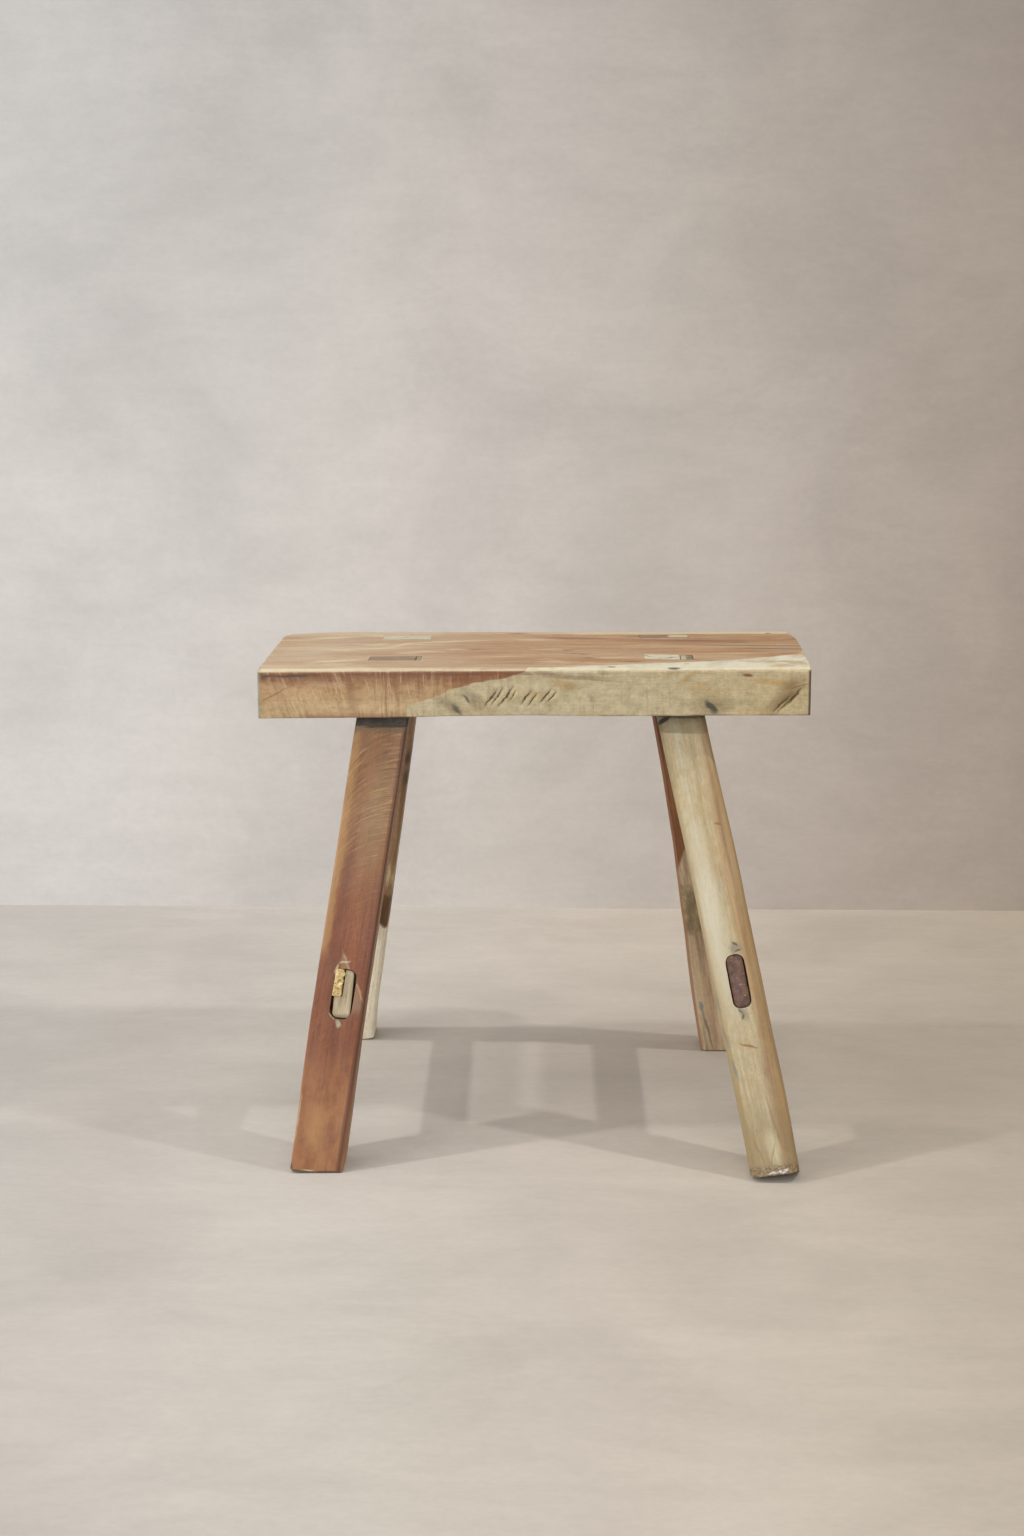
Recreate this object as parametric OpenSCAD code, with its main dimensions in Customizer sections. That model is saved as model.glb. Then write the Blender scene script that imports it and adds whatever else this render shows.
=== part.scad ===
// Small plank stool. A thick rectangular seat stands on four legs that splay both ways. Each leg
// comes up through the seat on a through tenon, and a flat stretcher joins the front and the rear
// leg at each side, with its tenons showing in the legs' faces.
// X runs along the seat, Y from the front to the rear, Z up. The origin lies on the floor, at the
// middle of the whole stool. The lists name the front left, front right, rear left and rear right
// leg in that order, and the left before the right stretcher.

/* [Seat] */
// Length of the seat plank
seat_length = 500; // [460:1:540]
// Depth of the seat plank, midway along it
seat_depth = 194; // [184:1:220]
// How far the seat's middle lies behind the midpoint of the feet
seat_setback = 8; // [0:1:12]
// Height of the top face above the floor
seat_height = 450; // [400:1:500]
// Thickness of the seat plank
seat_thickness = 45; // [36:1:52]
// How far the front edge runs back from its left end to its right end
front_skew = 20; // [0:1:24]
// How far the rear edge runs back from its left end to its right end
rear_skew = 8; // [0:1:16]
// Wear along the front top edge
front_wear = 4; // [1:0.5:6]
// Wear along the rear top edge and both end top edges
edge_wear = 2; // [1:0.5:4]
// Length along the right end that its rounded rear corner takes up
corner_reach = 60; // [20:1:80]
// Depth that the rounded rear corner takes off the right end
corner_loss = 6; // [2:1:12]

/* [Legs] */
// Distance of each foot's centre from the middle, sideways
foot_side = [198, 219, 200, 193]; // [180:1:225]
// Distance of each foot's centre from the middle, to the front or to the rear
foot_reach = [164, 176, 176, 150]; // [140:1:185]
// Distance of each tenon's end from the middle, sideways
tenon_side = [130, 123, 128, 122]; // [115:1:140]
// Distance of each front tenon's end from the middle
front_tenon_reach = [37, 27]; // [20:1:50]
// Distance of each rear tenon's end from the middle
rear_tenon_reach = [73, 79]; // [60:1:80]
// Width of each leg across its front face
leg_width = [48, 44, 47, 47]; // [40:1:50]
// Depth of each leg from front to rear
leg_depth = [38, 40, 36, 36]; // [34:1:42]
// Chamfer along each leg's four arrises
leg_chamfer = [2, 9, 3, 5]; // [1:1:12]
// Thickness of the tenons through the seat
tenon_thickness = 20; // [16:1:24]

/* [Stretchers] */
// Thickness of each stretcher
stretcher_thickness = [19, 16]; // [15:1:24]
// Height of each stretcher's section
stretcher_height = 47; // [36:1:50]
// Chamfer at the corners of the stretcher's section and of its mortises
stretcher_chamfer = 6; // [2:1:7]
// Height of each stretcher's centre above the floor, at the front leg's face
stretcher_front_z = [156, 171]; // [145:1:185]
// Height of each stretcher's centre above the floor, at the rear leg's face
stretcher_rear_z = [150, 162]; // [145:1:185]
// How far each stretcher's centre lies outside the front leg's centre line
stretcher_front_offset = [0, 2]; // [0:1:4]
// How far each stretcher's centre lies outside the rear leg's centre line
stretcher_rear_offset = [1, 6]; // [0:1:7]

/* [Wedges] */
// Width of the wedge at the outer end of each front tenon, at the seat's top face
wedge_width = [5, 12]; // [4:1:14]
// Depth that the wedges reach down from the seat's top face
wedge_length = 34; // [20:1:35]
// Width of the packing beside the left stretcher's front tenon
packing_width = 9; // [5:1:12]
// Height of that packing
packing_height = 24; // [12:1:30]
// Depth of that packing in the mortise
packing_length = 26; // [15:1:32]

/* [Hidden] */

FRONT_LEFT = 0;
FRONT_RIGHT = 1;
REAR_LEFT = 2;
REAR_RIGHT = 3;
SIDE_SIGN = [-1, 1, -1, 1];
END_SIGN = [-1, -1, 1, 1];

joint_gap = 0.25;
wedge_gap = 0.1;
tenon_drop = 0.2;
wedge_tip = 2;
stretcher_recess = 0.5;
cut_margin = 60;
corner_steps = 12;
under_z = seat_height - seat_thickness;
tenon_reach = concat(front_tenon_reach, rear_tenon_reach);

// Where each leg's centre line meets the floor and the seat's top plane
function foot(i) = [SIDE_SIGN[i] * foot_side[i], END_SIGN[i] * foot_reach[i], 0];
function tenon_end(i) = [SIDE_SIGN[i] * tenon_side[i], END_SIGN[i] * tenon_reach[i], seat_height];
function leg_run(i) = tenon_end(i) - foot(i);
function leg_length(i) = norm(leg_run(i));
function leg_tilt(i) = [-asin(leg_run(i).y / leg_length(i)), atan2(leg_run(i).x, leg_run(i).z), 0];
function centre_at(i, z) = foot(i) + leg_run(i) * z / seat_height;

// Outline of a rectangle with chamfered corners, centred on the origin
function chamfered(w, h, c) = [
    for (s = [[1, 1], [-1, 1], [-1, -1], [1, -1]])
        for (k = s.x * s.y > 0 ? [0, 1] : [1, 0])
            [s.x * (w / 2 - (k == 0 ? 0 : c)), s.y * (h / 2 - (k == 0 ? c : 0))]
];

// Places along Y of the corners of the soles: the frame's origin is midway between the extremes
function sole_y(i, p) =
    let (t = leg_tilt(i), lift = p.x * sin(t.y) - p.y * sin(t.x) * cos(t.y))
    foot(i).y + p.y * cos(t.x) + leg_run(i).y / seat_height * lift;
sole_ys = [
    for (i = [FRONT_LEFT:REAR_RIGHT])
        for (p = chamfered(leg_width[i], leg_depth[i], leg_chamfer[i])) sole_y(i, p)
];
middle_y = (min(sole_ys) + max(sole_ys)) / 2;

// Seat outline: straight edges, with the worn curve at the rear right corner
front_y = seat_setback - seat_depth / 2;
rear_y = seat_setback + seat_depth / 2;
front_left = [-seat_length / 2, front_y - front_skew / 2];
front_right = [seat_length / 2, front_y + front_skew / 2];
rear_right = [seat_length / 2, rear_y + rear_skew / 2];
rear_left = [-seat_length / 2, rear_y - rear_skew / 2];
worn_corner = [
    for (k = [0:corner_steps])
        let (a = 90 * k / corner_steps)
        rear_right - [corner_loss * (1 - cos(a)), corner_reach * (1 - sin(a))]
];

// Everything between two heights above the floor
module slab(low, high) {
    size = 2 * seat_length;
    translate([-size / 2, -size / 2, low]) cube([size, size, high - low]);
}

// Children drawn in a leg's own frame: origin at the foot, Z along the leg
module on_leg(i) {
    translate(foot(i)) rotate(leg_tilt(i)) children();
}

// The prism that a leg is cut from, running past the floor and the seat
module leg_prism(i, w, d, c) {
    on_leg(i)
        translate([0, 0, -cut_margin])
            linear_extrude(leg_length(i) + 2 * cut_margin)
                polygon(chamfered(w, d, c));
}

// A wedge's room at a front tenon's outer end, with a gap on its inner side
module wedge_room(i, gap) {
    outer = SIDE_SIGN[FRONT_RIGHT] * leg_width[i] / 2;
    top = leg_length(i) + cut_margin;
    tip = leg_length(i) - wedge_length;
    width = wedge_width[i];
    slope = (width - wedge_tip) / wedge_length;
    on_leg(i)
        rotate([90, 0, 0])
            linear_extrude(tenon_thickness + 2 * gap, center = true)
                polygon([
                    [outer + gap, tip],
                    [outer + gap, top],
                    [outer - width - slope * cut_margin - gap, top],
                    [outer - wedge_tip - gap, tip]
                ]);
}

// Ends of a stretcher's centre line, beside the front and the rear leg's centre lines
function outward(s, offset) = [SIDE_SIGN[s] * offset, 0, 0];
function stretcher_front(s) =
    centre_at(s, stretcher_front_z[s]) + outward(s, stretcher_front_offset[s]);
function stretcher_rear(s) =
    centre_at(s + 2, stretcher_rear_z[s]) + outward(s, stretcher_rear_offset[s]);
function stretcher_run(s) = stretcher_rear(s) - stretcher_front(s);
function stretcher_turn(s) = -atan2(stretcher_run(s).x, stretcher_run(s).y);
function stretcher_rise(s) = asin(stretcher_run(s).z / norm(stretcher_run(s)));
function stretcher_lean(s) = (leg_tilt(s).y + leg_tilt(s + 2).y) / 2;

// Children drawn in a stretcher's own frame: origin at its front end, Y along it, leaning with the legs
module on_stretcher(s) {
    translate(stretcher_front(s))
        rotate([stretcher_rise(s), 0, stretcher_turn(s)])
            rotate([0, stretcher_lean(s), 0])
                children();
}

// The bar that a stretcher is cut from, grown by a gap for the mortises
module stretcher_bar(s, gap) {
    length = norm(stretcher_run(s)) + 2 * cut_margin;
    on_stretcher(s)
        translate([0, length - cut_margin, 0])
            rotate([90, 0, 0])
                linear_extrude(length)
                    polygon(chamfered(
                        stretcher_thickness[s] + 2 * gap,
                        stretcher_height + 2 * gap,
                        stretcher_chamfer
                    ));
}

// The space between the outer faces of one side's front and rear legs
module between_leg_faces(s, recess) {
    size = 2 * seat_length;
    intersection() {
        on_leg(s)
            translate([-size / 2, -leg_depth[s] / 2 + recess, -size / 2])
                cube([size, size, 2 * size]);
        on_leg(s + 2)
            translate([-size / 2, leg_depth[s + 2] / 2 - recess - size, -size / 2])
                cube([size, size, 2 * size]);
    }
}

// The packing's room in the upper outer corner of the left stretcher's front tenon
module packing_room(gap) {
    length = cut_margin + packing_length;
    on_stretcher(FRONT_LEFT)
        translate([
            -stretcher_thickness[FRONT_LEFT] / 2 - gap,
            -cut_margin,
            stretcher_height / 2 - packing_height - gap
        ])
            cube([packing_width + 2 * gap, length, packing_height + 2 * gap]);
}

// A leg with its tenon, shouldered under the seat, and its stretcher's mortise
module leg(i) {
    side = i % 2;
    width = leg_width[i];
    difference() {
        union() {
            intersection() {
                leg_prism(i, width, leg_depth[i], leg_chamfer[i]);
                slab(0, under_z);
            }
            intersection() {
                leg_prism(i, width, tenon_thickness, wedge_tip / 2);
                slab(under_z - seat_thickness / 2, seat_height - tenon_drop);
            }
        }
        stretcher_bar(side, joint_gap);
        if (END_SIGN[i] < 0) wedge_room(i, wedge_gap);
    }
}

// Wear along a straight top edge between two corners of the seat
module worn_edge(from, to, wear) {
    run = to - from;
    translate([from.x, from.y, seat_height])
        rotate([0, 0, atan2(run.y, run.x)])
            rotate([45, 0, 0])
                translate([-cut_margin, -wear / sqrt(2), -wear / sqrt(2)])
                    cube([norm(run) + 2 * cut_margin, sqrt(2) * wear, sqrt(2) * wear]);
}

// The plank, with a mortise for each leg
module seat() {
    color("peru")
        translate([0, -middle_y, 0])
            difference() {
                translate([0, 0, under_z])
                    linear_extrude(seat_thickness)
                        polygon(concat([rear_left, front_left, front_right], worn_corner));
                for (i = [FRONT_LEFT:REAR_RIGHT])
                    leg_prism(i, leg_width[i] + 2 * joint_gap, tenon_thickness + 2 * joint_gap, 0.5);
                worn_edge(front_left, front_right, front_wear);
                worn_edge(rear_left, worn_corner[corner_steps], edge_wear);
                worn_edge(rear_left, front_left, edge_wear);
                worn_edge(front_right, worn_corner[0], edge_wear);
            }
}

module leg_front_left() {
    color("saddlebrown") translate([0, -middle_y, 0]) leg(FRONT_LEFT);
}

module leg_front_right() {
    color("burlywood") translate([0, -middle_y, 0]) leg(FRONT_RIGHT);
}

module leg_rear_left() {
    color("tan") translate([0, -middle_y, 0]) leg(REAR_LEFT);
}

module leg_rear_right() {
    color("rosybrown") translate([0, -middle_y, 0]) leg(REAR_RIGHT);
}

// A flat bar whose ends pass through both legs and stop just inside their faces
module stretcher(s) {
    intersection() {
        stretcher_bar(s, 0);
        between_leg_faces(s, stretcher_recess);
    }
}

module stretcher_left() {
    color("wheat")
        translate([0, -middle_y, 0])
            difference() {
                stretcher(FRONT_LEFT);
                packing_room(wedge_gap);
            }
}

module stretcher_right() {
    color("sienna") translate([0, -middle_y, 0]) stretcher(FRONT_RIGHT);
}

// A wedge driven in beside a front tenon, flush with the seat's top face
module tenon_wedge(i) {
    intersection() {
        wedge_room(i, 0);
        slab(under_z, seat_height - tenon_drop);
    }
}

module tenon_wedge_left() {
    color("darkkhaki") translate([0, -middle_y, 0]) tenon_wedge(FRONT_LEFT);
}

module tenon_wedge_right() {
    color("dimgray") translate([0, -middle_y, 0]) tenon_wedge(FRONT_RIGHT);
}

module stretcher_packing() {
    color("khaki")
        translate([0, -middle_y, 0])
            intersection() {
                packing_room(0);
                between_leg_faces(FRONT_LEFT, 0);
            }
}

seat();
leg_front_left();
leg_front_right();
leg_rear_left();
leg_rear_right();
stretcher_left();
stretcher_right();
tenon_wedge_left();
tenon_wedge_right();
stretcher_packing();
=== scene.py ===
"""Plank stool: the visible pieces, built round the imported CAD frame.

The row frame is in metres, with +X along the seat to its right end, +Y from the front to the rear and +Z up
from the floor. Shapes and materials are worked out in millimetres, in each piece's own frame: a leg's Z and a
stretcher's Y run along it, and the seat's own frame has its origin in the middle of the top face, with
straightened long edges.
"""

import functools
import math

import bpy
import numpy as np
from mathutils import Matrix, Vector, noise


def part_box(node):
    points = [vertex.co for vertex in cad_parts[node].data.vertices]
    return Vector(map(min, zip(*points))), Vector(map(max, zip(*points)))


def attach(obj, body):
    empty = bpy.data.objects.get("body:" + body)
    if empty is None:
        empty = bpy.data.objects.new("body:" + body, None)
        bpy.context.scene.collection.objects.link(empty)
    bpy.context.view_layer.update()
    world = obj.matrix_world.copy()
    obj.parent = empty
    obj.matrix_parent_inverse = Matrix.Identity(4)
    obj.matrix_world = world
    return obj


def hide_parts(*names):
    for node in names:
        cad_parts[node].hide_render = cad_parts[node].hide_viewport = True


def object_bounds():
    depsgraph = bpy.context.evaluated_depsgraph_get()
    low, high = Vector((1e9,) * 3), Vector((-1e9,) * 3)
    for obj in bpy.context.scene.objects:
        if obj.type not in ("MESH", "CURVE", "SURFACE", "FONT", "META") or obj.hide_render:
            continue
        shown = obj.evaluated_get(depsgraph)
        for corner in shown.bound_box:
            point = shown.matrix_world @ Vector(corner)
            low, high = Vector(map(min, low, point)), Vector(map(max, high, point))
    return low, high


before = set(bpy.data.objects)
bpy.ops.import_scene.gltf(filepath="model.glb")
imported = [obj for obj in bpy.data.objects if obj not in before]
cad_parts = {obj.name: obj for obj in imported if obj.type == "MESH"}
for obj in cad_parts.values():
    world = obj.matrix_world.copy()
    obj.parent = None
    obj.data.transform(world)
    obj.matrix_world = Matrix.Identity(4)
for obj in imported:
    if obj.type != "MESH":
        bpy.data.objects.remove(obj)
cad_low, cad_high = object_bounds()

MM = 0.001
SEAT_TOP = cad_high.z / MM
SEAT_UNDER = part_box("seat")[0].z / MM

# Each leg: its section's width and depth, how far its arrises are worn and how roundly (a power of 1 is a
# flat chamfer), how far its tenon stands over the seat, and the gap in front of the tenon
LEGS = {"leg_front_left": {"section": (48, 38), "arris": 2.0, "round": 1.4, "stand": 0.1, "gap": 0.0,
    "seed": 3}, "leg_front_right": {"section": (44, 40), "arris": 10.0, "round": 1.9, "stand": 0.2,
    "gap": 2.4, "seed": 5}, "leg_rear_left": {"section": (47, 36), "arris": 4.0, "round": 1.5, "stand": 0.1,
    "gap": 1.4, "seed": 8}, "leg_rear_right": {"section": (47, 36), "arris": 3.4, "round": 1.2,
    "stand": 0.0, "gap": 0.0, "seed": 13}, }
# How far under the seat the saw nicked the front left leg
LEG_KERF = 13.3
# How far the front right foot's sole is worn up in front, at its middle and for each millimetre to the right
FOOT_LIFT = 7.2
FOOT_TILT = 0.17
# The tenons' thickness, and the wedges' length, their width at the tip and each one's width at its end
TENON_THICKNESS = 20
WEDGE_LENGTH = 34
WEDGE_TIP = 2
WEDGES = {"leg_front_left": 5, "leg_front_right": 12}
# Each stretcher's thickness, the heights of its centre at the front and the rear leg, and how far outward
# it lies there
STRETCHERS = {
    "stretcher_left": {"side": -1, "thickness": 19, "heights": (156, 150), "outward": (0, 1)},
    "stretcher_right": {"side": 1, "thickness": 16, "heights": (171, 162), "outward": (2, 6)},
}
STRETCHER_HEIGHT = 47
# The packing's width, length and height
PACKING = (9, 26, 24)

# Marks on the seat, in its own frame. Torn gouges in front, (start, end, width) in x and z, and dents in the
# top, (x, y, half length, half width), are cut in and coloured. Pale scratches in front, given by the x and z
# of their tops, are only coloured
GOUGES = [((-44, -34), (-34, -20), 1.9), ((-38, -33), (-29, -19), 1.3), ((-32, -35), (-20, -18), 1.7),
    ((-23, -30), (-17, -21), 1.1), ((-12, -33), (-3, -21), 1.7), ((-6, -34), (2, -24), 1.2),
    ((5, -32), (15, -20), 1.5), ((12, -31), (20, -22), 1.0), ((216, -41), (232, -25), 1.4),
    ((221, -41), (239, -23), 1.3), ((228, -35), (241, -21), 1.9)]
PALE_CUTS = [(-197, -18), (-190, -21), (-178, -16), (-171, -22), (-183, -27), (-150, -9), (-128, -12),
    (-112, -15)]
DENTS = [(126, -92, 5.5, 3.4), (70, -87, 4, 2.4), (138, -75, 2.6, 1.6), (225, 86, 3, 2)]
# From how many degrees on an edge is shaded sharp
SHARP_EDGE = 38
# How much of its paleness the wood keeps where use has darkened it, on the seat's top
TOP_PATINA = 0.82


# Reading the frame
# ------------------------------------------------------------


def corners(node):
    """A CAD node's vertices in the row frame, in millimetres."""
    return np.array([v.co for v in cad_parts[node].data.vertices], float) / MM


def ring_centre(node, height):
    """The middle of the corners that a CAD node has at one height."""
    points = corners(node)
    ring = points[abs(points[:, 2] - height) < 0.1]
    return np.unique(ring.round(2), axis=0).mean(axis=0)


class Place:
    """A piece's own frame: its origin in the row frame, and its three axes as the columns of a matrix."""

    def __init__(self, origin, x, y, z):
        self.origin = np.array(origin, float)
        self.axes = np.column_stack([x, y, z])

    def out(self, points):
        """Points of the piece's own frame in the row frame."""
        return points @ self.axes.T + self.origin

    def into(self, points):
        """Points of the row frame in the piece's own frame."""
        return (points - self.origin) @ self.axes


def unit(vector):
    return np.array(vector, float) / np.linalg.norm(vector)


class Leg(Place):
    """A leg's frame: origin at the middle of the sole, Z up the leg, X level."""

    def __init__(self, node):
        foot = ring_centre(node, 0)
        run = ring_centre(node, SEAT_UNDER) - foot
        z = unit(run)
        x = unit([z[2], 0, -z[0]])
        super().__init__(foot, x, np.cross(z, x), z)
        self.run = run / run[2]
        self.lean = math.atan2(run[0], run[2])
        self.width, self.depth = LEGS[node]["section"]
        self.shoulder = SEAT_UNDER / self.axes[2, 2]
        self.top = SEAT_TOP / self.axes[2, 2]
        x, y, _ = seat.into(self.at_height(SEAT_TOP)[None])[0]
        self.tenon_end = self.top - hollow(x, y) - 0.1 + LEGS[node]["stand"]

    def level(self, points):
        """How far up the leg a level plane through the axis lies at these points."""
        return -(points[:, 0] * self.axes[2, 0] + points[:, 1] * self.axes[2, 1]) / self.axes[2, 2]

    def at_height(self, height):
        return self.origin + self.run * height


class Stretcher(Place):
    """A stretcher's frame: origin beside the front leg's axis, Y to the rear, leaning as its two legs do."""

    def __init__(self, node, front_leg, rear_leg):
        facts = STRETCHERS[node]
        outward = [np.array([facts["side"] * offset, 0, 0]) for offset in facts["outward"]]
        front = front_leg.at_height(facts["heights"][0]) + outward[0]
        rear = rear_leg.at_height(facts["heights"][1]) + outward[1]
        y = unit(rear - front)
        level = unit([y[1], -y[0], 0])
        upright = np.cross(level, y)
        lean = (front_leg.lean + rear_leg.lean) / 2
        x = level * math.cos(lean) - upright * math.sin(lean)
        super().__init__(front, x, y, np.cross(x, y))
        self.thickness = facts["thickness"]
        self.ends = (front_leg, -front_leg.depth / 2), (rear_leg, rear_leg.depth / 2)

    def face(self, points, end, recess):
        """Where along the stretcher the outer face of a leg lies, at the points' X and Z."""
        leg, reach = self.ends[end]
        normal = leg.axes[:, 1]
        at_face = leg.origin + normal * (reach - recess * np.sign(reach))
        start = (at_face - self.origin) @ normal
        slope = self.axes.T @ normal
        return (start - points[:, 0] * slope[0] - points[:, 2] * slope[2]) / slope[1]


class Seat:
    """The seat's own frame, in which its skewed front and rear edges lie straight along x."""

    def __init__(self):
        points = corners("seat")
        self.low, self.high = points.min(axis=0), points.max(axis=0)
        self.half = np.array([self.high[0], 0, (SEAT_TOP - SEAT_UNDER) / 2])
        ends = [points[points[:, 0] < self.low[0] + 1], points[points[:, 0] > self.high[0] - 8]]
        self.front = [end[:, 1].min() for end in ends]
        self.rear = [end[:, 1].max() for end in ends]
        self.half[1] = (sum(self.rear) - sum(self.front)) / 4
        self.face = -float(self.half[1])

    def edges(self, x):
        """Where the front and the rear edge lie at x."""
        share = (x - self.low[0]) / (self.high[0] - self.low[0])
        return [line[0] + (line[1] - line[0]) * share for line in (self.front, self.rear)]

    def out(self, points):
        front, rear = self.edges(points[:, 0])
        y = front + (rear - front) * (points[:, 1] / self.half[1] + 1) / 2
        return np.column_stack([points[:, 0], y, points[:, 2] + SEAT_TOP])

    def into(self, points):
        front, rear = self.edges(points[:, 0])
        y = ((points[:, 1] - front) / (rear - front) * 2 - 1) * self.half[1]
        return np.column_stack([points[:, 0], y, points[:, 2] - SEAT_TOP])


def hollow(x, y):
    """How far use has hollowed the top of the seat at a place in its own frame."""
    return 0.2 + 0.7 * np.cos(x / seat.half[0] * 1.5) * np.cos(y / seat.half[1] * 1.5)


# Mesh work
# ------------------------------------------------------------


def grid_lines(low, high, step, *dense):
    """Positions from low to high about step apart, and closer near each dense (place, reach, step)."""
    lines = [low]
    while lines[-1] < high:
        near = [fine for place, reach, fine in dense if abs(lines[-1] - place) < reach]
        lines.append(lines[-1] + min([step, *near]))
    lines = np.array(lines)
    return low + (lines - low) * (high - low) / (lines[-1] - low)


def box_surface(*lines):
    """Points and quads of a closed box whose six faces are gridded by three lists of grid lines."""
    index, points, quads = {}, [], []

    def point(place):
        if place not in index:
            index[place] = len(points)
            points.append([lines[axis][place[axis]] for axis in range(3)])
        return index[place]

    for axis in range(3):
        across, up = (axis + 1) % 3, (axis + 2) % 3
        for side in (0, len(lines[axis]) - 1):
            for a in range(len(lines[across]) - 1):
                for b in range(len(lines[up]) - 1):
                    quad = []
                    for step_a, step_b in ((0, 0), (1, 0), (1, 1), (0, 1)):
                        place = [0, 0, 0]
                        place[axis], place[across], place[up] = side, a + step_a, b + step_b
                        quad.append(point(tuple(place)))
                    quads.append(quad if side else quad[::-1])
    return np.array(points), quads


def rounded(points, half, reach, power=2.0):
    """A box's surface with its edges rounded over a reach, given for each point or along each axis.

    Power 2 rounds them, and 1 cuts a flat chamfer.
    """
    reach = np.asarray(reach, float)
    if reach.shape == (len(points),):
        reach = reach[:, None]
    core = np.clip(points, reach - half, half - reach)
    away = (points - core) / reach
    size = (np.abs(away) ** power).sum(axis=1, keepdims=True) ** (1 / power)
    return core + away / size * reach


def ramp(values, low, high):
    """0 below low and 1 above high, with a smooth rise between. High may be under low."""
    share = np.clip((values - low) / (high - low), 0, 1)
    return share * share * (3 - 2 * share)


def swell(points, sizes, seed):
    """Smooth noise from about -1 to 1, whose lumps have the given sizes in millimetres."""
    start = Vector((seed * 7.31, seed * 3.17, seed * 5.53))
    return np.array([noise.noise(Vector(p) + start) for p in points / np.array(sizes, float)])


def nearness(across, up, start, end, width):
    """1 along a straight stroke between two points of a plane, falling to 0 at about its width from it."""
    run = np.subtract(end, start)
    share = np.clip(((across - start[0]) * run[0] + (up - start[1]) * run[1]) / (run @ run), 0, 1)
    away = np.hypot(across - start[0] - share * run[0], up - start[1] - share * run[1])
    return np.exp(-(away / width) ** 2)


def facing(points, half, sharpness=9):
    """Which way a box's surface faces at each point, turning quickly at its edges."""
    share = np.clip(points / half, -1, 1) ** sharpness
    return share / np.maximum(np.linalg.norm(share, axis=1, keepdims=True), 1e-9)


def new_object(name, data):
    """A new object in the scene."""
    made = bpy.data.objects.new(name, data)
    bpy.context.scene.collection.objects.link(made)
    return made


def new_piece(name, points, quads):
    """An object at the origin from points in the row frame, in millimetres."""
    mesh = bpy.data.meshes.new(name)
    mesh.from_pydata((points * MM).tolist(), [], quads)
    return new_object(name, mesh)


def cut(piece, tools):
    """Takes the tools' shapes out of a piece, and removes the tools."""
    for tool in tools:
        modifier = piece.modifiers.new("cut", "BOOLEAN")
        modifier.operation = "DIFFERENCE"
        modifier.solver = "EXACT"
        modifier.object = tool
    evaluated = piece.evaluated_get(bpy.context.evaluated_depsgraph_get())
    mesh = bpy.data.meshes.new_from_object(evaluated)
    piece.modifiers.clear()
    piece.data = mesh
    for tool in tools:
        bpy.data.objects.remove(tool)


def finished(piece, place, material):
    """Gives a piece its wood coordinates, material and body, in place of the CAD node of its name."""
    mesh = piece.data
    points = np.array([v.co for v in mesh.vertices], float) / MM
    wood = mesh.attributes.new("wood", "FLOAT_VECTOR", "POINT")
    wood.data.foreach_set("vector", place.into(points).astype(np.float32).ravel())
    mesh.polygons.foreach_set("use_smooth", [True] * len(mesh.polygons))
    mesh.set_sharp_from_angle(angle=math.radians(SHARP_EDGE))
    mesh.materials.clear()
    mesh.materials.append(material)
    node = piece.name.removesuffix("_wood")
    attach(piece, "root")
    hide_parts(node)


# Shapes
# ------------------------------------------------------------


def seat_points():
    """The plank: worn along its arrises, a little hollow on top, and hewn unevenly on its other faces."""
    half = seat.half
    torn = [((start[0] + end[0]) / 2, 12, 0.9) for start, end, _ in GOUGES]
    xs = grid_lines(-half[0], half[0], 2.0, (-half[0], 6, 0.8), (half[0], 7, 0.8), *torn)
    ys = grid_lines(-half[1], half[1], 3.2, (-half[1], 7, 0.8), (half[1], 7, 0.9))
    zs = grid_lines(-half[2], half[2], 1.4, (-half[2], 4, 0.9), (half[2], 7, 0.8))
    points, quads = box_surface(xs, ys, zs)
    to_front = ramp(points[:, 1], 10 - half[1], 2 - half[1])
    to_top = ramp(points[:, 2], -6, 6)
    bumps = swell(points, (34, 30, 30), 2) + 0.5 * swell(points, (9, 9, 9), 4)
    at_end = ramp(abs(points[:, 0]), half[0] - 5, half[0] - 1)
    reach = (1.1 + to_top * (0.9 + 2.3 * to_front)) * (1 - 0.45 * at_end) + 0.6 * bumps * (1 - 0.6 * at_end)
    normal = facing(points, half)
    worn = rounded(points, half, np.maximum(reach, 0.5))
    # Hewing marks go into each face, and the top is dished by use
    depth = 0.35 + 0.3 * swell(points, (46, 24, 16), 7) + 0.12 * swell(points, (9, 9, 7), 9)
    on_top = ramp(normal[:, 2], 0.3, 0.9)
    depth = depth * (1 - 0.7 * on_top) + on_top * hollow(points[:, 0], points[:, 1])
    depth = depth * (1 - 0.9 * abs(normal[:, 0]))
    in_front = ramp(-normal[:, 1], 0.5, 0.9)
    for start, end, width in GOUGES:
        depth += 0.9 * in_front * nearness(points[:, 0], points[:, 2] - half[2], start, end, width * 0.8)
    for x, y, long, wide in DENTS:
        size = np.hypot((points[:, 0] - x) / long, (points[:, 1] - y) / wide)
        depth += 0.9 * on_top * np.exp(-(size ** 2))
    worn -= normal * np.maximum(depth, 0.03)[:, None]
    wear_corners(worn, half)
    worn[:, 2] -= half[2]
    return worn, quads


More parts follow.
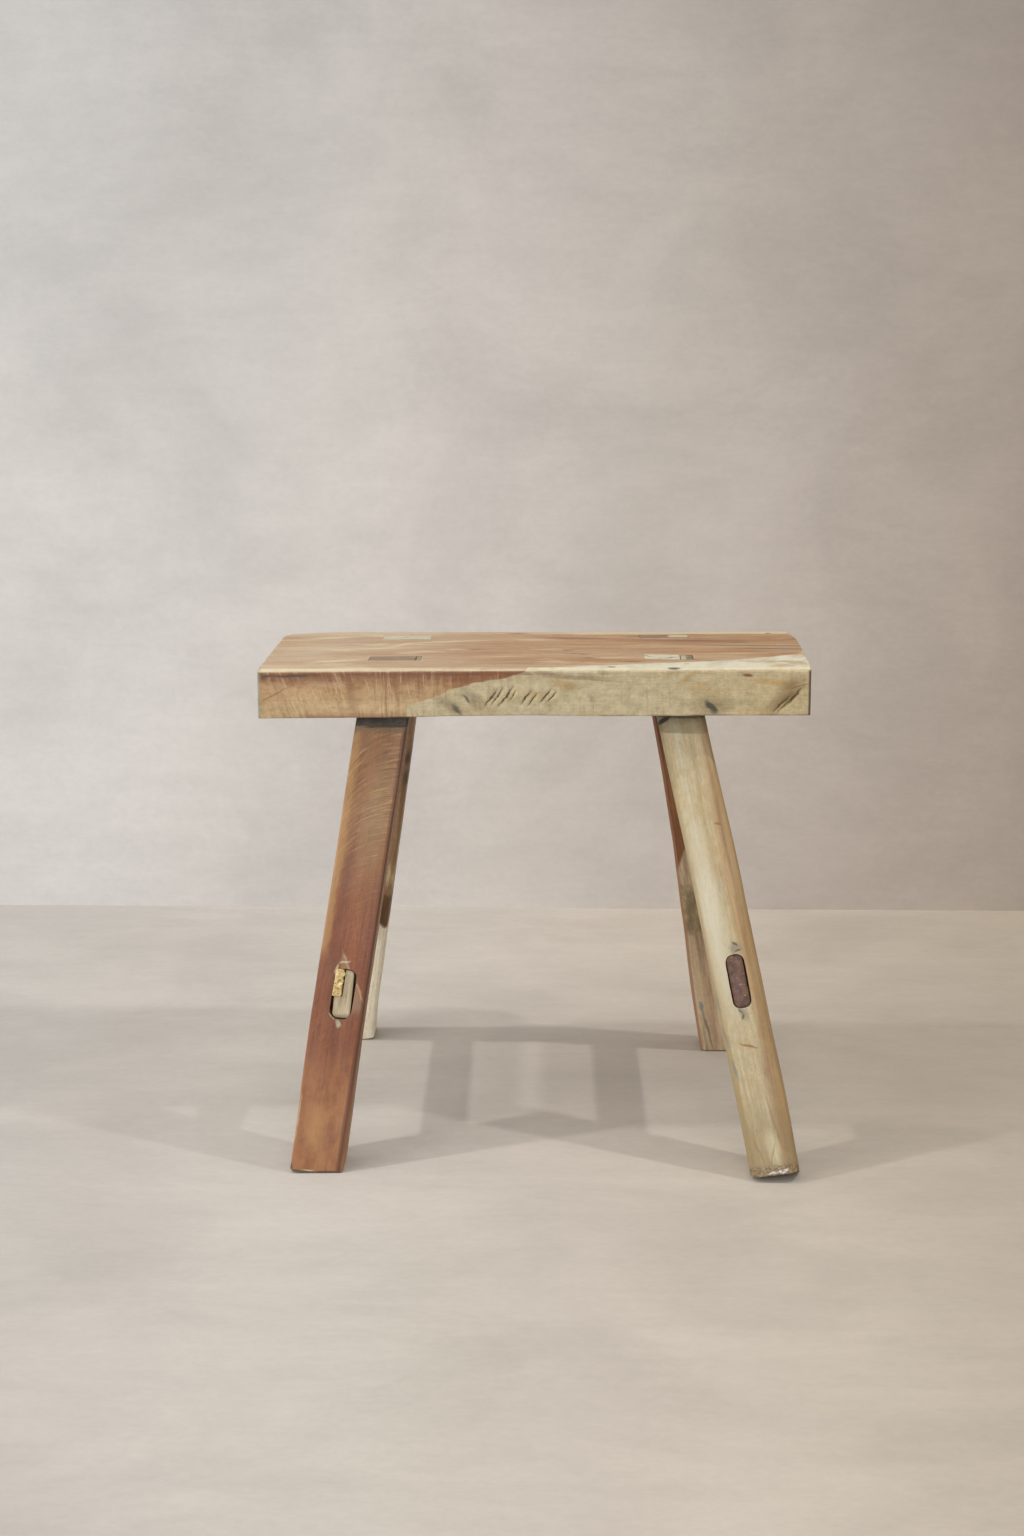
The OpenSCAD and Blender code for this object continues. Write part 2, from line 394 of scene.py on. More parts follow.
def wear_corners(worn, half):
    """Lowers the front right arris, raises the bottom edge near the middle, and wears both rear corners."""
    front_right = ramp(worn[:, 0], -20, 160) * ramp(worn[:, 1], -half[1] + 22, -half[1])
    worn[:, 2] -= 1.1 * front_right * ramp(worn[:, 2], half[2] - 8, half[2])
    raised = np.exp(-(((worn[:, 0] + 30) / 70) ** 2)) * ramp(worn[:, 1], 0, -half[1])
    worn[:, 2] += 1.3 * raised * ramp(worn[:, 2], -half[2] + 12, -half[2])
    rear_right = ramp(worn[:, 1], half[1] - 60, half[1]) ** 1.6
    worn[:, 0] -= 6 * rear_right * ramp(worn[:, 0], 120, half[0])
    rear_left = ramp(worn[:, 1], half[1] - 34, half[1]) ** 1.8
    worn[:, 0] += 5 * rear_left * ramp(-worn[:, 0], 150, half[0])
    worn[:, 2] -= 1.5 * rear_left * ramp(-worn[:, 0], 200, half[0]) * ramp(worn[:, 2], 0, half[2])


def leg_details(name, leg, points):
    """The bow, the kerf and the worn sole that make each leg its own, as moves of its points."""
    move = np.zeros_like(points)
    up = points[:, 2]
    x, y = points[:, 0], points[:, 1]
    low = ramp(up, 16, 0)
    front = ramp(y, 2, -leg.depth / 2)
    if name == "leg_front_left":
        move[:, 0] = -2.2 * ramp(up, 0, 140) * (up < leg.shoulder + 0.01)
        kerf = np.exp(-(((up - leg.shoulder + LEG_KERF) / 0.6) ** 2)) * ramp(x, -15, -12)
        move[:, 1] = 1.4 * kerf * ramp(y, 0, -leg.depth / 2 + 1)
        move[:, 2] = 3.0 * low * ramp(x, -15, -25) * front
    if name == "leg_front_right":
        move[:, 0] = (1.4 + 1.1 * ramp(x, 0, 20)) * ramp(up, 420, 280) * ramp(up, -60, 90)
        move[:, 2] = low * ramp(y, 10, -leg.depth / 2) * (FOOT_LIFT + FOOT_TILT * x)
    if name == "leg_rear_left":
        move[:, 0] = -4.6 * ramp(x, 4, 22) * ramp(up, -45, 45) * (up < leg.shoulder + 0.01)
        move[:, 2] = 1.5 * low * ramp(x, 10, 24)
    if name == "leg_rear_right":
        bend = 1.8 * ramp(up, 150, 250) * ramp(up, 405, 300) - 2.0 * ramp(up, 150, 60)
        move[:, 0] = bend * ramp(x, 4, -20)
    return move


def leg_points(name, leg):
    """A leg with its tenon: a hewn bar up to the shoulder, then a flat tenon of almost the same width."""
    facts = LEGS[name]
    tenon_end = leg.tenon_end
    half = np.array([leg.width / 2, leg.depth / 2, tenon_end / 2])
    xs = grid_lines(-half[0], half[0], 2.6, (-half[0], 5, 0.7), (half[0], 5, 0.7))
    ys = grid_lines(-half[1], half[1], 2.6, (-half[1], 5, 0.7), (half[1], 5, 0.7))
    kerf = (leg.shoulder - LEG_KERF, 1.6, 0.3)
    body = grid_lines(0, leg.shoulder, 3.0, (0, 12, 1.0), (leg.shoulder, 3, 0.7), kerf)
    tenon = grid_lines(leg.shoulder + 0.02, tenon_end, 3.0, (tenon_end, 3, 0.7))
    points, quads = box_surface(xs, ys, np.concatenate([body, tenon]) - half[2])
    up = points[:, 2] + half[2]
    on_tenon = up > leg.shoulder + 0.01
    seed = facts["seed"]
    wear = 1 + 0.3 * swell(points, (60, 60, 70), seed)
    normal = facing(points, half) * [1, 1, 0]
    arris = facts["arris"] * wear
    reach = np.column_stack([arris, arris, np.full(len(points), 1.2)])
    body_shape = rounded(points, half, reach, facts["round"])
    shape = np.where(on_tenon[:, None], rounded(points, half, 0.7), body_shape)
    hewn = 0.35 * swell(points, (40, 40, 90), seed + 1) + 0.2 * swell(points, (16, 16, 28), seed + 2)
    shape += normal * (hewn - 0.2)[:, None]
    shape[on_tenon, 1] *= TENON_THICKNESS / leg.depth
    shape[:, 2] += half[2]
    shape += leg_details(name, leg, shape)
    if name in WEDGES:
        room = wedge_width(WEDGES[name], leg, shape[:, 2]) + 0.3
        edge = leg.width / 2
        share = (shape[:, 0] + edge) / (2 * edge)
        narrowed = -edge + share * (2 * edge - room)
        shape[:, 0] = np.where(shape[:, 2] > leg.top - WEDGE_LENGTH, narrowed, shape[:, 0])
    shape[:, 2] += leg.level(shape)
    return shape, quads


def wedge_width(width, leg, up):
    """How wide a wedge is at a height up the leg: it tapers from the tenon's end down to its tip."""
    return WEDGE_TIP + (width - WEDGE_TIP) * np.clip((up - leg.top + WEDGE_LENGTH) / WEDGE_LENGTH, 0, 1)


def wedge_points(name, leg):
    """A wedge beside a front tenon, split thin at its tip."""
    half = np.array([WEDGES[name] / 2, TENON_THICKNESS / 2 - 0.2, WEDGE_LENGTH / 2])
    xs = grid_lines(-half[0], half[0], 1.0)
    ys = grid_lines(-half[1], half[1], 1.4, (-half[1], 2, 0.5), (half[1], 2, 0.5))
    zs = grid_lines(-half[2], half[2], 2.0, (half[2], 2, 0.5))
    points, quads = box_surface(xs, ys, zs)
    shape = rounded(points, half, 0.8)
    shape += facing(points, half) * (0.25 * swell(points, (4, 5, 9), 21) - 0.2)[:, None]
    up = shape[:, 2] + leg.tenon_end - half[2] - 0.3
    share = wedge_width(WEDGES[name], leg, up) / WEDGES[name]
    shape[:, 0] = leg.width / 2 - (half[0] - shape[:, 0]) * share - 0.1
    shape[:, 2] = up
    shape[:, 2] += leg.level(shape)
    return shape, quads


def bar_points(bar, half_x, half_z, reach, recess, seed, roughness=0.25, turn=0.0):
    """A bar along a stretcher's frame, whose ends follow the outer faces of the two legs."""
    length = 300
    half = np.array([half_x, length / 2, half_z])
    xs = grid_lines(-half_x, half_x, 1.6, (-half_x, 3, 0.7), (half_x, 3, 0.7))
    zs = grid_lines(-half_z, half_z, 2.4, (-half_z, 4, 0.8), (half_z, 4, 0.8))
    ys = grid_lines(-half[1], half[1], 3.6, (-half[1], 3, 0.8), (half[1], 3, 0.8))
    points, quads = box_surface(xs, ys, zs)
    shape = rounded(points, half, (reach, 1.2, reach))
    hewn = swell(points, (22, 60, 22), seed) + 0.4 * swell(points, (8, 14, 8), seed + 1)
    shape += facing(points, half) * [1, 0, 1] * (roughness * hewn)[:, None]
    turned = Matrix.Rotation(turn, 3, "Y")
    shape[:, [0, 2]] = (shape @ np.array(turned).T)[:, [0, 2]]
    share = shape[:, 1] / length + 0.5
    front, rear = bar.face(shape, 0, recess), bar.face(shape, 1, recess)
    shape[:, 1] = front + (rear - front) * share
    return shape, quads


def build_seat():
    points, quads = seat_points()
    piece = new_piece("seat_wood", seat.out(points), quads)
    tools = [mortise_tool(name, leg) for name, leg in legs.items()]
    cut(piece, tools)
    finished(piece, seat, seat_material())


def mortise_tool(name, leg):
    """The hole that a tenon comes up through, a little ragged at its sides."""
    half = np.array([leg.width / 2, TENON_THICKNESS / 2, 40])
    lines = [grid_lines(-h, h, step) for h, step in zip(half, (1.5, 1.5, 5))]
    points, quads = box_surface(*lines)
    shape = rounded(points, half, 1.0)
    ragged = 0.22 * swell(points, (5, 5, 30), LEGS[name]["seed"] + 30)
    shape += facing(points, half) * [1, 1, 0] * (ragged - 0.08)[:, None]
    open_side = ramp(shape[:, 1], 0, -half[1]) * ramp(shape[:, 0], -9, -4)
    shape[:, 1] -= open_side * LEGS[name]["gap"]
    shape[:, 2] += (leg.shoulder + leg.top) / 2
    return new_piece("tool", leg.out(shape), quads)


def build_leg(name, make_material):
    leg = legs[name]
    points, quads = leg_points(name, leg)
    piece = new_piece(name + "_wood", leg.out(points), quads)
    side = "stretcher_" + name.rsplit("_", 1)[1]
    bar = bars[side]
    loose = 0.6 if "front" in name else 0.2
    half_x, half_z = bar.thickness / 2 + loose, bar_height(side) / 2 + loose
    shape, quads = bar_points(bar, half_x, half_z, half_x - 1.2, -30, 50, 0.3)
    cut(piece, [new_piece("tool", bar.out(shape), quads)])
    finished(piece, leg, make_material(leg))


def bar_height(name):
    """The left stretcher is planed a little lower than its blank."""
    return STRETCHER_HEIGHT - (2.2 if name == "stretcher_left" else 0)


def build_stretcher(name, material):
    bar = bars[name]
    reach, slack, turn = {"stretcher_left": (4.0, 1.3, -0.05), "stretcher_right": (5.5, 0.6, 0.0)}[name]
    half_x, half_z = bar.thickness / 2 - slack, bar_height(name) / 2 - slack
    shape, quads = bar_points(bar, half_x, half_z, reach, 1.0, 60, 0.25, turn)
    piece = new_piece(name + "_wood", bar.out(shape), quads)
    if name == "stretcher_left":
        shape, quads = packing_points(bar, 0.4)
        cut(piece, [new_piece("tool", bar.out(shape), quads)])
    finished(piece, bar, material)


def packing_points(bar, grown):
    """The torn splinter of packing in the upper outer corner of the left stretcher's front tenon."""
    width, length, height = PACKING
    half = np.array([width / 2 + grown, length / 2 + grown, height / 2 + grown])
    lines = [grid_lines(-h, h, 0.7 if not grown else 2.0, (-h, 4, 0.6)) for h in half]
    points, quads = box_surface(*lines)
    shape = rounded(points, half, 0.6)
    if not grown:
        torn = ramp(points[:, 1], 2, -half[1])
        ragged = 1.6 * swell(points, (3, 3, 4), 71) + 0.8 * swell(points, (1.2, 9, 1.5), 72)
        shape[:, 1] += torn * (ragged - 1.0)
        inner = ramp(points[:, 0], -1, half[0]) * torn
        shape[:, 0] += inner * (2.0 * swell(points, (9, 9, 4.5), 73) - 1.0)
    shape[:, 0] += width / 2 - bar.thickness / 2 - 0.3
    shape[:, 2] += STRETCHER_HEIGHT / 2 - height / 2 - 1.6
    shape[:, 1] += length / 2 + bar.face(shape, 0, 0)
    return shape, quads


def build_small_pieces():
    packing = packing_material()
    looks = {"left": (packing, "packing_wood"), "right": (wedge_material(), "dark_wood")}
    for side, (material, slot) in looks.items():
        leg_name = "leg_front_" + side
        leg = legs[leg_name]
        shape, quads = wedge_points(leg_name, leg)
        piece = new_piece(f"tenon_wedge_{side}_wood", leg.out(shape), quads)
        finished(piece, leg, material)
    bar = bars["stretcher_left"]
    shape, quads = packing_points(bar, 0)
    piece = new_piece("stretcher_packing_wood", bar.out(shape), quads)
    finished(piece, bar, packing)


# Materials
# ------------------------------------------------------------


def tone(code):
    """A linear colour from its sRGB code."""
    parts = [int(code[at:at + 2], 16) / 255 for at in (0, 2, 4)]
    return tuple(p / 12.92 if p <= 0.04045 else ((p + 0.055) / 1.055) ** 2.4 for p in parts) + (1.0,)


class Surface:
    """A material's node tree, with short calls for the nodes it needs. Lengths are in millimetres."""

    def __init__(self, name):
        self.material = bpy.data.materials.new(name)
        self.material.use_nodes = True
        self.tree = self.material.node_tree
        self.tree.nodes.clear()
        self.point = self.coordinates()
        self.x, self.y, self.z = self.apart(self.point)
        self.heights = []
        self.colour = None

    def coordinates(self):
        return self.node("AttributeNode", attribute_name="wood").outputs["Vector"]

    def node(self, kind, inputs=None, **settings):
        kind = "ShaderNode" + kind.removesuffix("Node")
        made = self.tree.nodes.new(kind)
        for name, value in settings.items():
            setattr(made, name, value)
        for name, value in (inputs or {}).items():
            self.feed(made.inputs[name], value)
        return made

    def feed(self, socket, value):
        if isinstance(value, bpy.types.NodeSocket):
            self.tree.links.new(value, socket)
        else:
            socket.default_value = value

    def apart(self, vector):
        return self.node("SeparateXYZ", {0: vector}).outputs

    def maths(self, operation, *values):
        return self.node("Math", dict(enumerate(values)), operation=operation).outputs[0]

    def chained(self, operation, values):
        """One number from several, by the same operation from the first to the last."""
        return functools.reduce(lambda so_far, value: self.maths(operation, so_far, value), values)

    def plus(self, *values):
        return self.chained("ADD", values)

    def minus(self, value, less):
        return self.maths("SUBTRACT", value, less)

    def times(self, *values):
        return self.chained("MULTIPLY", values)

    def most(self, *values):
        """The largest of some masks."""
        return self.chained("MAXIMUM", values)

    def besides(self, mask):
        """1 where a mask is 0, and 0 where it is 1."""
        return self.minus(1.0, mask)

    def step(self, value, low, high, least=0.0, greatest=1.0):
        """A smooth rise from least to greatest as the value goes from low to high."""
        inputs = {0: value, 1: low, 2: high, 3: least, 4: greatest}
        return self.node("MapRange", inputs, interpolation_type="SMOOTHSTEP").outputs[0]

    def band(self, value, low, high, soft):
        """1 between low and high, and 0 more than soft outside them."""
        return self.times(self.step(value, low - soft, low), self.step(value, high + soft, high))

    def curve(self, value, stops):
        """A value that follows (position, height) stops, eased between them."""
        places = [stop[0] for stop in stops]
        heights = [stop[1] for stop in stops]
        low, high = min(heights), max(heights)
        share = self.node("MapRange", {0: value, 1: places[0], 2: places[-1]}).outputs[0]
        made = self.node("FloatCurve", {1: share})
        line = made.mapping.curves[0]
        span = places[-1] - places[0]
        for place, height in stops[1:-1]:
            line.points.new((place - places[0]) / span, (height - low) / (high - low))
        line.points[0].location = (0, (heights[0] - low) / (high - low))
        line.points[len(stops) - 1].location = (1, (heights[-1] - low) / (high - low))
        made.mapping.update()
        return self.node("MapRange", {0: made.outputs[0], 3: low, 4: high}).outputs[0]

    def noise(self, sizes, seed, detail=3.0, roughness=0.55, warp=0.0, point=None):
        """Noise from 0 to 1 whose lumps have the given sizes."""
        scale = tuple(1 / size for size in sizes)
        start = (seed * 3.7, seed * 7.1, seed * 1.9)
        moved = self.node("Mapping", {0: point or self.point, 1: start, 3: scale}, vector_type="POINT")
        inputs = {"Vector": moved.outputs[0], "Scale": 1.0, "Detail": detail}
        inputs.update({"Roughness": roughness, "Distortion": warp})
        return self.node("TexNoise", inputs).outputs["Fac"]

    def patches(self, sizes, seed, rise, detail=3.0, roughness=0.55):
        """Soft patches of noise: its step by rise, which is (low, high) or (low, high, least, greatest)."""
        return self.step(self.noise(sizes, seed, detail, roughness), *rise)

    def wobbled(self, sizes, amount, seed):
        """The coordinates shifted by smooth noise, so that what follows them has uneven edges."""
        scale = tuple(1 / size for size in sizes)
        moved = self.node("Mapping", {0: self.point, 1: (seed, -seed, seed * 2), 3: scale})
        made = self.node("TexNoise", {"Vector": moved.outputs[0], "Scale": 1.0, "Detail": 3.0})
        away = self.node("VectorMath", {0: made.outputs["Color"], 1: (0.5, 0.5, 0.5)}, operation="SUBTRACT")
        shift = self.node("VectorMath", {0: away.outputs[0], 3: amount * 2}, operation="SCALE")
        return self.node("VectorMath", {0: self.point, 1: shift.outputs[0]}, operation="ADD").outputs[0]

    def inside(self, at, radii, angles, edge, point):
        """1 inside a turned ellipsoid and 0 outside it, with a soft edge given as a share of its size."""
        inputs = {0: point or self.point, 1: at, 2: angles, 3: radii}
        moved = self.node("Mapping", inputs, vector_type="TEXTURE")
        size = self.node("VectorMath", {0: moved.outputs[0]}, operation="LENGTH").outputs["Value"]
        return self.step(size, 1 + edge, 1 - edge)

    def blob(self, at, radii, edge=0.3, point=None):
        """1 inside an ellipsoid and 0 outside it."""
        return self.inside(at, radii, (0, 0, 0), edge, point)

    def stroke(self, start, end, width, face="y", at=0.0, depth=6.0, edge=0.4, point=None):
        """1 along a straight stroke on the face that looks along an axis and lies at a place on it."""
        across, up = end[0] - start[0], end[1] - start[1]
        half, angle = math.hypot(across, up) / 2, math.atan2(up, across)
        middle = [(a + b) / 2 for a, b in zip(start, end)]
        middle.insert("xyz".index(face), at)
        width /= 2
        radii = {"x": (depth, half, width), "y": (half, depth, width), "z": (half, width, depth)}[face]
        angles = {"x": (angle, 0, 0), "y": (0, -angle, 0), "z": (0, 0, angle)}[face]
        return self.inside(middle, radii, angles, edge, point)

    def struck(self, places, **settings):
        """1 on any of some strokes, given as (start, end, width)."""
        return self.most(*[self.stroke(*place, **settings) for place in places])

    def strokes(self, code, strength, places, relief=0.0, **settings):
        """Paints strokes, and cuts them in by a relief."""
        mask = self.struck(places, **settings)
        if relief:
            self.bump(mask, -relief)
        self.paint(code, mask, strength)

    def marks(self, rows, **settings):
        """Paints one row of strokes after another, each (sRGB code, strength, edge, places[, relief])."""
        for code, strength, edge, *places in rows:
            self.strokes(code, strength, *places, edge=edge, **settings)

    def mix(self, below, above, share):
        """The colour above over the colour below, by a share."""
        made = self.node("Mix", data_type="RGBA")
        for socket, value in zip((made.inputs[0], made.inputs[6], made.inputs[7]), (share, below, above)):
            self.feed(socket, value)
        return made.outputs[2]

    def paint(self, code, *shares):
        """Lays a tone over the colour so far, as strongly as the product of the shares says."""
        share = self.times(*shares)
        self.colour = self.mix(self.colour, tone(code), share)

    def over(self, below, share):
        """Lays the colour so far over another one, by a share."""
        self.colour = self.mix(below, self.colour, share)

    def shade(self, amount):
        """Makes the colour so far darker or lighter, by an amount near 1."""
        self.colour = self.node("HueSaturation", {"Color": self.colour, "Value": amount}).outputs[0]

    def clouded(self, noise, darker, lighter):
        """Shades the colour so far by noise: darker where that is low, and lighter where it is high."""
        self.shade(self.step(noise, 0.3, 0.7, 1 - darker, 1 + lighter))

    def tones(self, value, stops):
        """A colour ramp from (position, sRGB code) stops."""
        made = self.node("ValToRGB", {0: value})
        elements = made.color_ramp.elements
        for _ in stops[2:]:
            elements.new(0.5)
        for element, (place, code) in zip(elements, stops):
            element.position = place
            element.color = tone(code)
        return made.outputs[0]

    def bump(self, value, depth):
        """Adds relief: the surface rises by depth millimetres where the value is 1."""
        self.heights.append(self.times(value, depth))

    def finish(self, roughness):
        """Puts the shader together, and returns the material."""
        bump = self.node("Bump", {"Height": self.plus(*self.heights), "Distance": MM})
        shader = self.node("BsdfPrincipled", {"Base Color": self.colour, "Roughness": roughness})
        self.feed(shader.inputs["Normal"], bump.outputs[0])
        output = self.node("OutputMaterial")
        self.tree.links.new(shader.outputs[0], output.inputs[0])
        return self.material


class Wood(Surface):
    """A wood, whose grain runs along one axis of its piece. It knows which way its surface faces."""

    def __init__(self, name, grain):
        super().__init__(name)
        self.grain = grain
        facing = self.node("NewGeometry").outputs["Normal"]
        self.facing_x, self.facing_y, self.facing_z = self.apart(facing)

    def along(self, long, across):
        """The sizes of a lump that is long along the grain."""
        return tuple(long if name == self.grain else across for name in "xyz")

    def figure(self, stops, seed, width=11.0, contrast=1.0):
        """Streaks, fibres and pores along the grain, over a ramp of tones."""
        slow = self.noise(self.along(260, width), seed, 5.0, 0.6, 0.4)
        self.colour = self.tones(slow, stops)
        streaks = self.noise(self.along(110, width / 4), seed + 3, 4.0, 0.65)
        self.clouded(streaks, 0.13 * contrast, 0.09 * contrast)
        fibres = self.noise(self.along(26, 1.3), seed + 1, 4.0, 0.65)
        self.clouded(fibres, 0.16 * contrast, 0.12 * contrast)
        mottle = self.noise(self.along(7, 3.2), seed + 4, 4.0, 0.7)
        self.clouded(mottle, 0.09 * contrast, 0.08 * contrast)
        speckle = self.noise((1.5, 1.5, 1.5), seed + 6, 3.0, 0.7)
        self.clouded(speckle, 0.08, 0.07)
        pores = self.patches(self.along(8, 0.5), seed + 2, (0.37, 0.29), 2.0)
        self.shade(self.step(pores, 0, 1, 1.0, 1 - 0.22 * contrast))
        self.bump(streaks, 0.25)
        self.bump(fibres, 0.16)
        self.bump(pores, -0.12)

    def end_grain(self, share, rings, seed, code="6f5238"):
        """The same wood cut across, where share is 1: rings round the pith, and short cracks out from it.

        Rings holds the two coordinates across the grain and where the pith lies on them.
        """
        (a, centre_a), (b, centre_b) = rings
        away_a = self.minus(a, centre_a)
        away_b = self.minus(b, centre_b)
        radius = self.maths("SQRT", self.plus(self.times(away_a, away_a), self.times(away_b, away_b)))
        warped = self.plus(radius, self.times(self.noise((14, 14, 14), seed, 2.0), 7.0))
        ring = self.maths("SINE", self.times(warped, 2.3))
        along_grain = self.colour
        self.shade(self.step(ring, -1.0, 0.9, 0.92, 0.76))
        turn = self.maths("ARCTAN2", away_a, away_b)
        spokes = self.times(turn, 46.0)
        spokes = self.plus(spokes, self.times(self.noise((9, 9, 9), seed + 1), 9.0))
        spoke = self.maths("SINE", spokes)
        crack = self.times(self.step(spoke, 0.985, 1.0), self.patches((7, 7, 7), seed + 2, (0.52, 0.62)))
        self.paint(code, crack, 0.75)
        self.bump(self.times(ring, share), 0.06)
        self.bump(self.times(crack, share), -0.4)
        self.over(along_grain, share)


def seat_material():
    """Tan and red-brown heartwood, with pale sapwood along the front right edge and saw marks in front."""
    wood = Wood("seat_plank", "x")
    uneven = wood.wobbled((26, 12, 8), 3.0, 3)
    on_front = wood.step(wood.facing_y, -0.45, -0.85)
    on_top = wood.step(wood.facing_z, 0.4, 0.85)
    seat_heartwood(wood, uneven, on_front)
    heart = wood.colour
    wood.figure([(0.3, "aa9c76"), (0.48, "b6a888"), (0.62, "beb090"), (0.75, "cac0a2")], 23, 13.0, 0.9)
    wood.paint("ece6cf", on_top, 0.72)
    wood.paint("beb08e", on_front, 0.75)
    wood.paint("b7a27a", on_front, wood.step(wood.x, 60, 220, 0.0, 0.6))
    seat_sapwood_stains(wood, uneven)
    wood.over(heart, sapwood_share(wood, uneven))
    rough_sawn = wood.noise((6, 9, 6), 39, 7.0, 0.8)
    rough_sawn = wood.times(wood.minus(rough_sawn, 0.5), on_front)
    wood.shade(wood.step(rough_sawn, -0.2, 0.2, 0.83, 1.16))
    seat_saw_marks(wood, uneven, on_front)
    seat_edges(wood, uneven, on_front)
    seat_top_marks(wood, on_top)
    wood.shade(wood.step(on_top, 0, 1, 1.0, TOP_PATINA))
    on_end = wood.step(wood.maths("ABSOLUTE", wood.facing_x), 0.6, 0.9)
    wood.end_grain(on_end, ((wood.y, 25.0), (wood.z, -150.0)), 51)
    # Painted shade: faces that look down are darkened, as the shade under the plank
    under = wood.step(wood.facing_z, -0.5, -0.9)
    whole = wood.colour
    wood.shade(0.72)
    wood.over(whole, under)
    rough = wood.patches((60, 14, 14), 41, (0.3, 0.7, 0.44, 0.62))
    rough = wood.plus(rough, wood.times(on_front, 0.1), wood.times(on_end, 0.15))
    return wood.finish(rough)


def seat_heartwood(wood, uneven, on_front):
    """Pink-tan on top, greyer to the left and redder to the right, and red-brown under the front arris."""
    wood.figure([(0.3, "9f7952"), (0.43, "b28e66"), (0.56, "c09f78"), (0.72, "d0b78f")], 11, 28.0, 0.55)
    left = wood.times(wood.step(wood.x, 60, -200), wood.patches((90, 26, 26), 13, (0.3, 0.7, 0.35, 1.0)))
    wood.paint("cdbba2", left, 0.6)
    red = wood.patches((150, 24, 24), 17, (0.42, 0.64), 5.0)
    red = wood.times(red, wood.step(wood.x, -200, 120, 0.35, 0.8))
    wood.paint("a06a3e", red, 0.75)
    cream = wood.patches((90, 20, 20), 18, (0.55, 0.68), 5.0, 0.6)
    wood.paint("d9c6a0", cream, wood.step(wood.x, 200, -100, 0.3, 0.7))
    brown = wood.patches((60, 14, 14), 21, (0.58, 0.7), 5.0, 0.65)
    wood.paint("80583a", brown, wood.step(wood.x, -150, 60, 0.25, 0.75))
    x, _, z = wood.apart(uneven)
    heart = wood.colour
    down_front = [(0.05, "b3996e"), (0.4, "a68158"), (0.66, "97693e"), (0.86, "7c492b")]
    wood.colour = wood.tones(wood.step(z, -42, 0), down_front)
    pale = wood.patches((30, 30, 12), 19, (0.4, 0.66), 2.0)
    wood.paint("c1a37c", pale, wood.step(z, -5, -16), 0.55)
    lighter = [((-222, -20), (-178, -28), 26), ((-156, -20), (-136, -20), 18)]
    darker = [((-167, -12), (-163, -42), 8), ((-129, -4), (-126, -28), 9), ((-106, -4), (-100, -24), 8),
        ((-238, -6), (-206, -9), 8)]
    patches = [("c3a67d", 0.5, 0.9, lighter), ("7f5233", 0.5, 0.9, darker)]
    wood.marks(patches, at=seat.face, depth=8.0, point=uneven)
    stained = wood.times(wood.step(z, -38, -44), wood.band(x, -205, -115, 14))
    wood.paint("835136", stained, 0.7)
    wood.over(heart, wood.times(on_front, 0.86))


def sapwood_share(wood, uneven):
    """1 where the plank is sapwood: under a climbing line in front, and in a widening strip on top."""
    x, _, z = wood.apart(uneven)
    line = wood.curve(x, [(-250, -60), (-119, -58), (-116, -38), (-109, -30.5), (-98, -28), (-90, -26),
        (-80, -21), (-62, -15), (-44, -11), (-30, -9.5), (-20, -7), (-8, -3), (4, 3), (250, 5)])
    below = wood.step(wood.minus(line, z), -0.7, 0.7)
    width = wood.curve(wood.x, [(-250, 3), (-10, 6), (30, 11), (86, 20), (178, 39), (232, 60), (250, 84)])
    streaky = wood.times(wood.noise(wood.along(70, 5), 29, 4.0), 9.0)
    reach = wood.plus(wood.minus(width, wood.z), streaky, -4.5)
    from_front = wood.plus(wood.y, -seat.face)
    ahead = wood.step(wood.minus(reach, from_front), -2.5, 2.5)
    return wood.times(below, ahead)


def seat_sapwood_stains(wood, uneven):
    """Grey-green and golden clouds, the knot and the grey wedge of grain on the sapwood."""
    clouds = wood.patches((20, 30, 15), 33, (0.45, 0.66), 4.0, 0.6)
    wood.paint("9f956f", clouds, 0.42)
    golden = wood.patches((42, 30, 9), 35, (0.52, 0.7))
    wood.paint("b3935c", golden, wood.step(wood.x, -30, 190, 0.25, 0.75))
    stains = [
        ("83745a", 0.7, 0.9, [((-86, -26), (-66, -43), 9), ((-64, -20), (-44, -38), 10)]),
        ("8f7a5c", 0.75, 0.7, [((4, -6), (66, -11), 5), ((20, -9), (74, -13), 2.4)]),
        ("4f4b42", 0.85, 0.7, [((-74, -34), (-66, -42), 3.6), ((-64, -24), (-59, -31), 2)]),
        ("9b7b42", 0.6, 0.9, [((20, -14), (40, -20), 6), ((133, -14), (145, -6), 5)]),
    ]
    wood.marks(stains, at=seat.face, point=uneven)
    halo = wood.blob((160, seat.face, -36), (14, 8, 10), 0.8, uneven)
    wood.paint("8f7d5a", halo, 0.7)
    wood.strokes("3f4038", 0.95, [((155, -32), (165, -42), 6)], edge=0.4, at=seat.face, point=uneven)


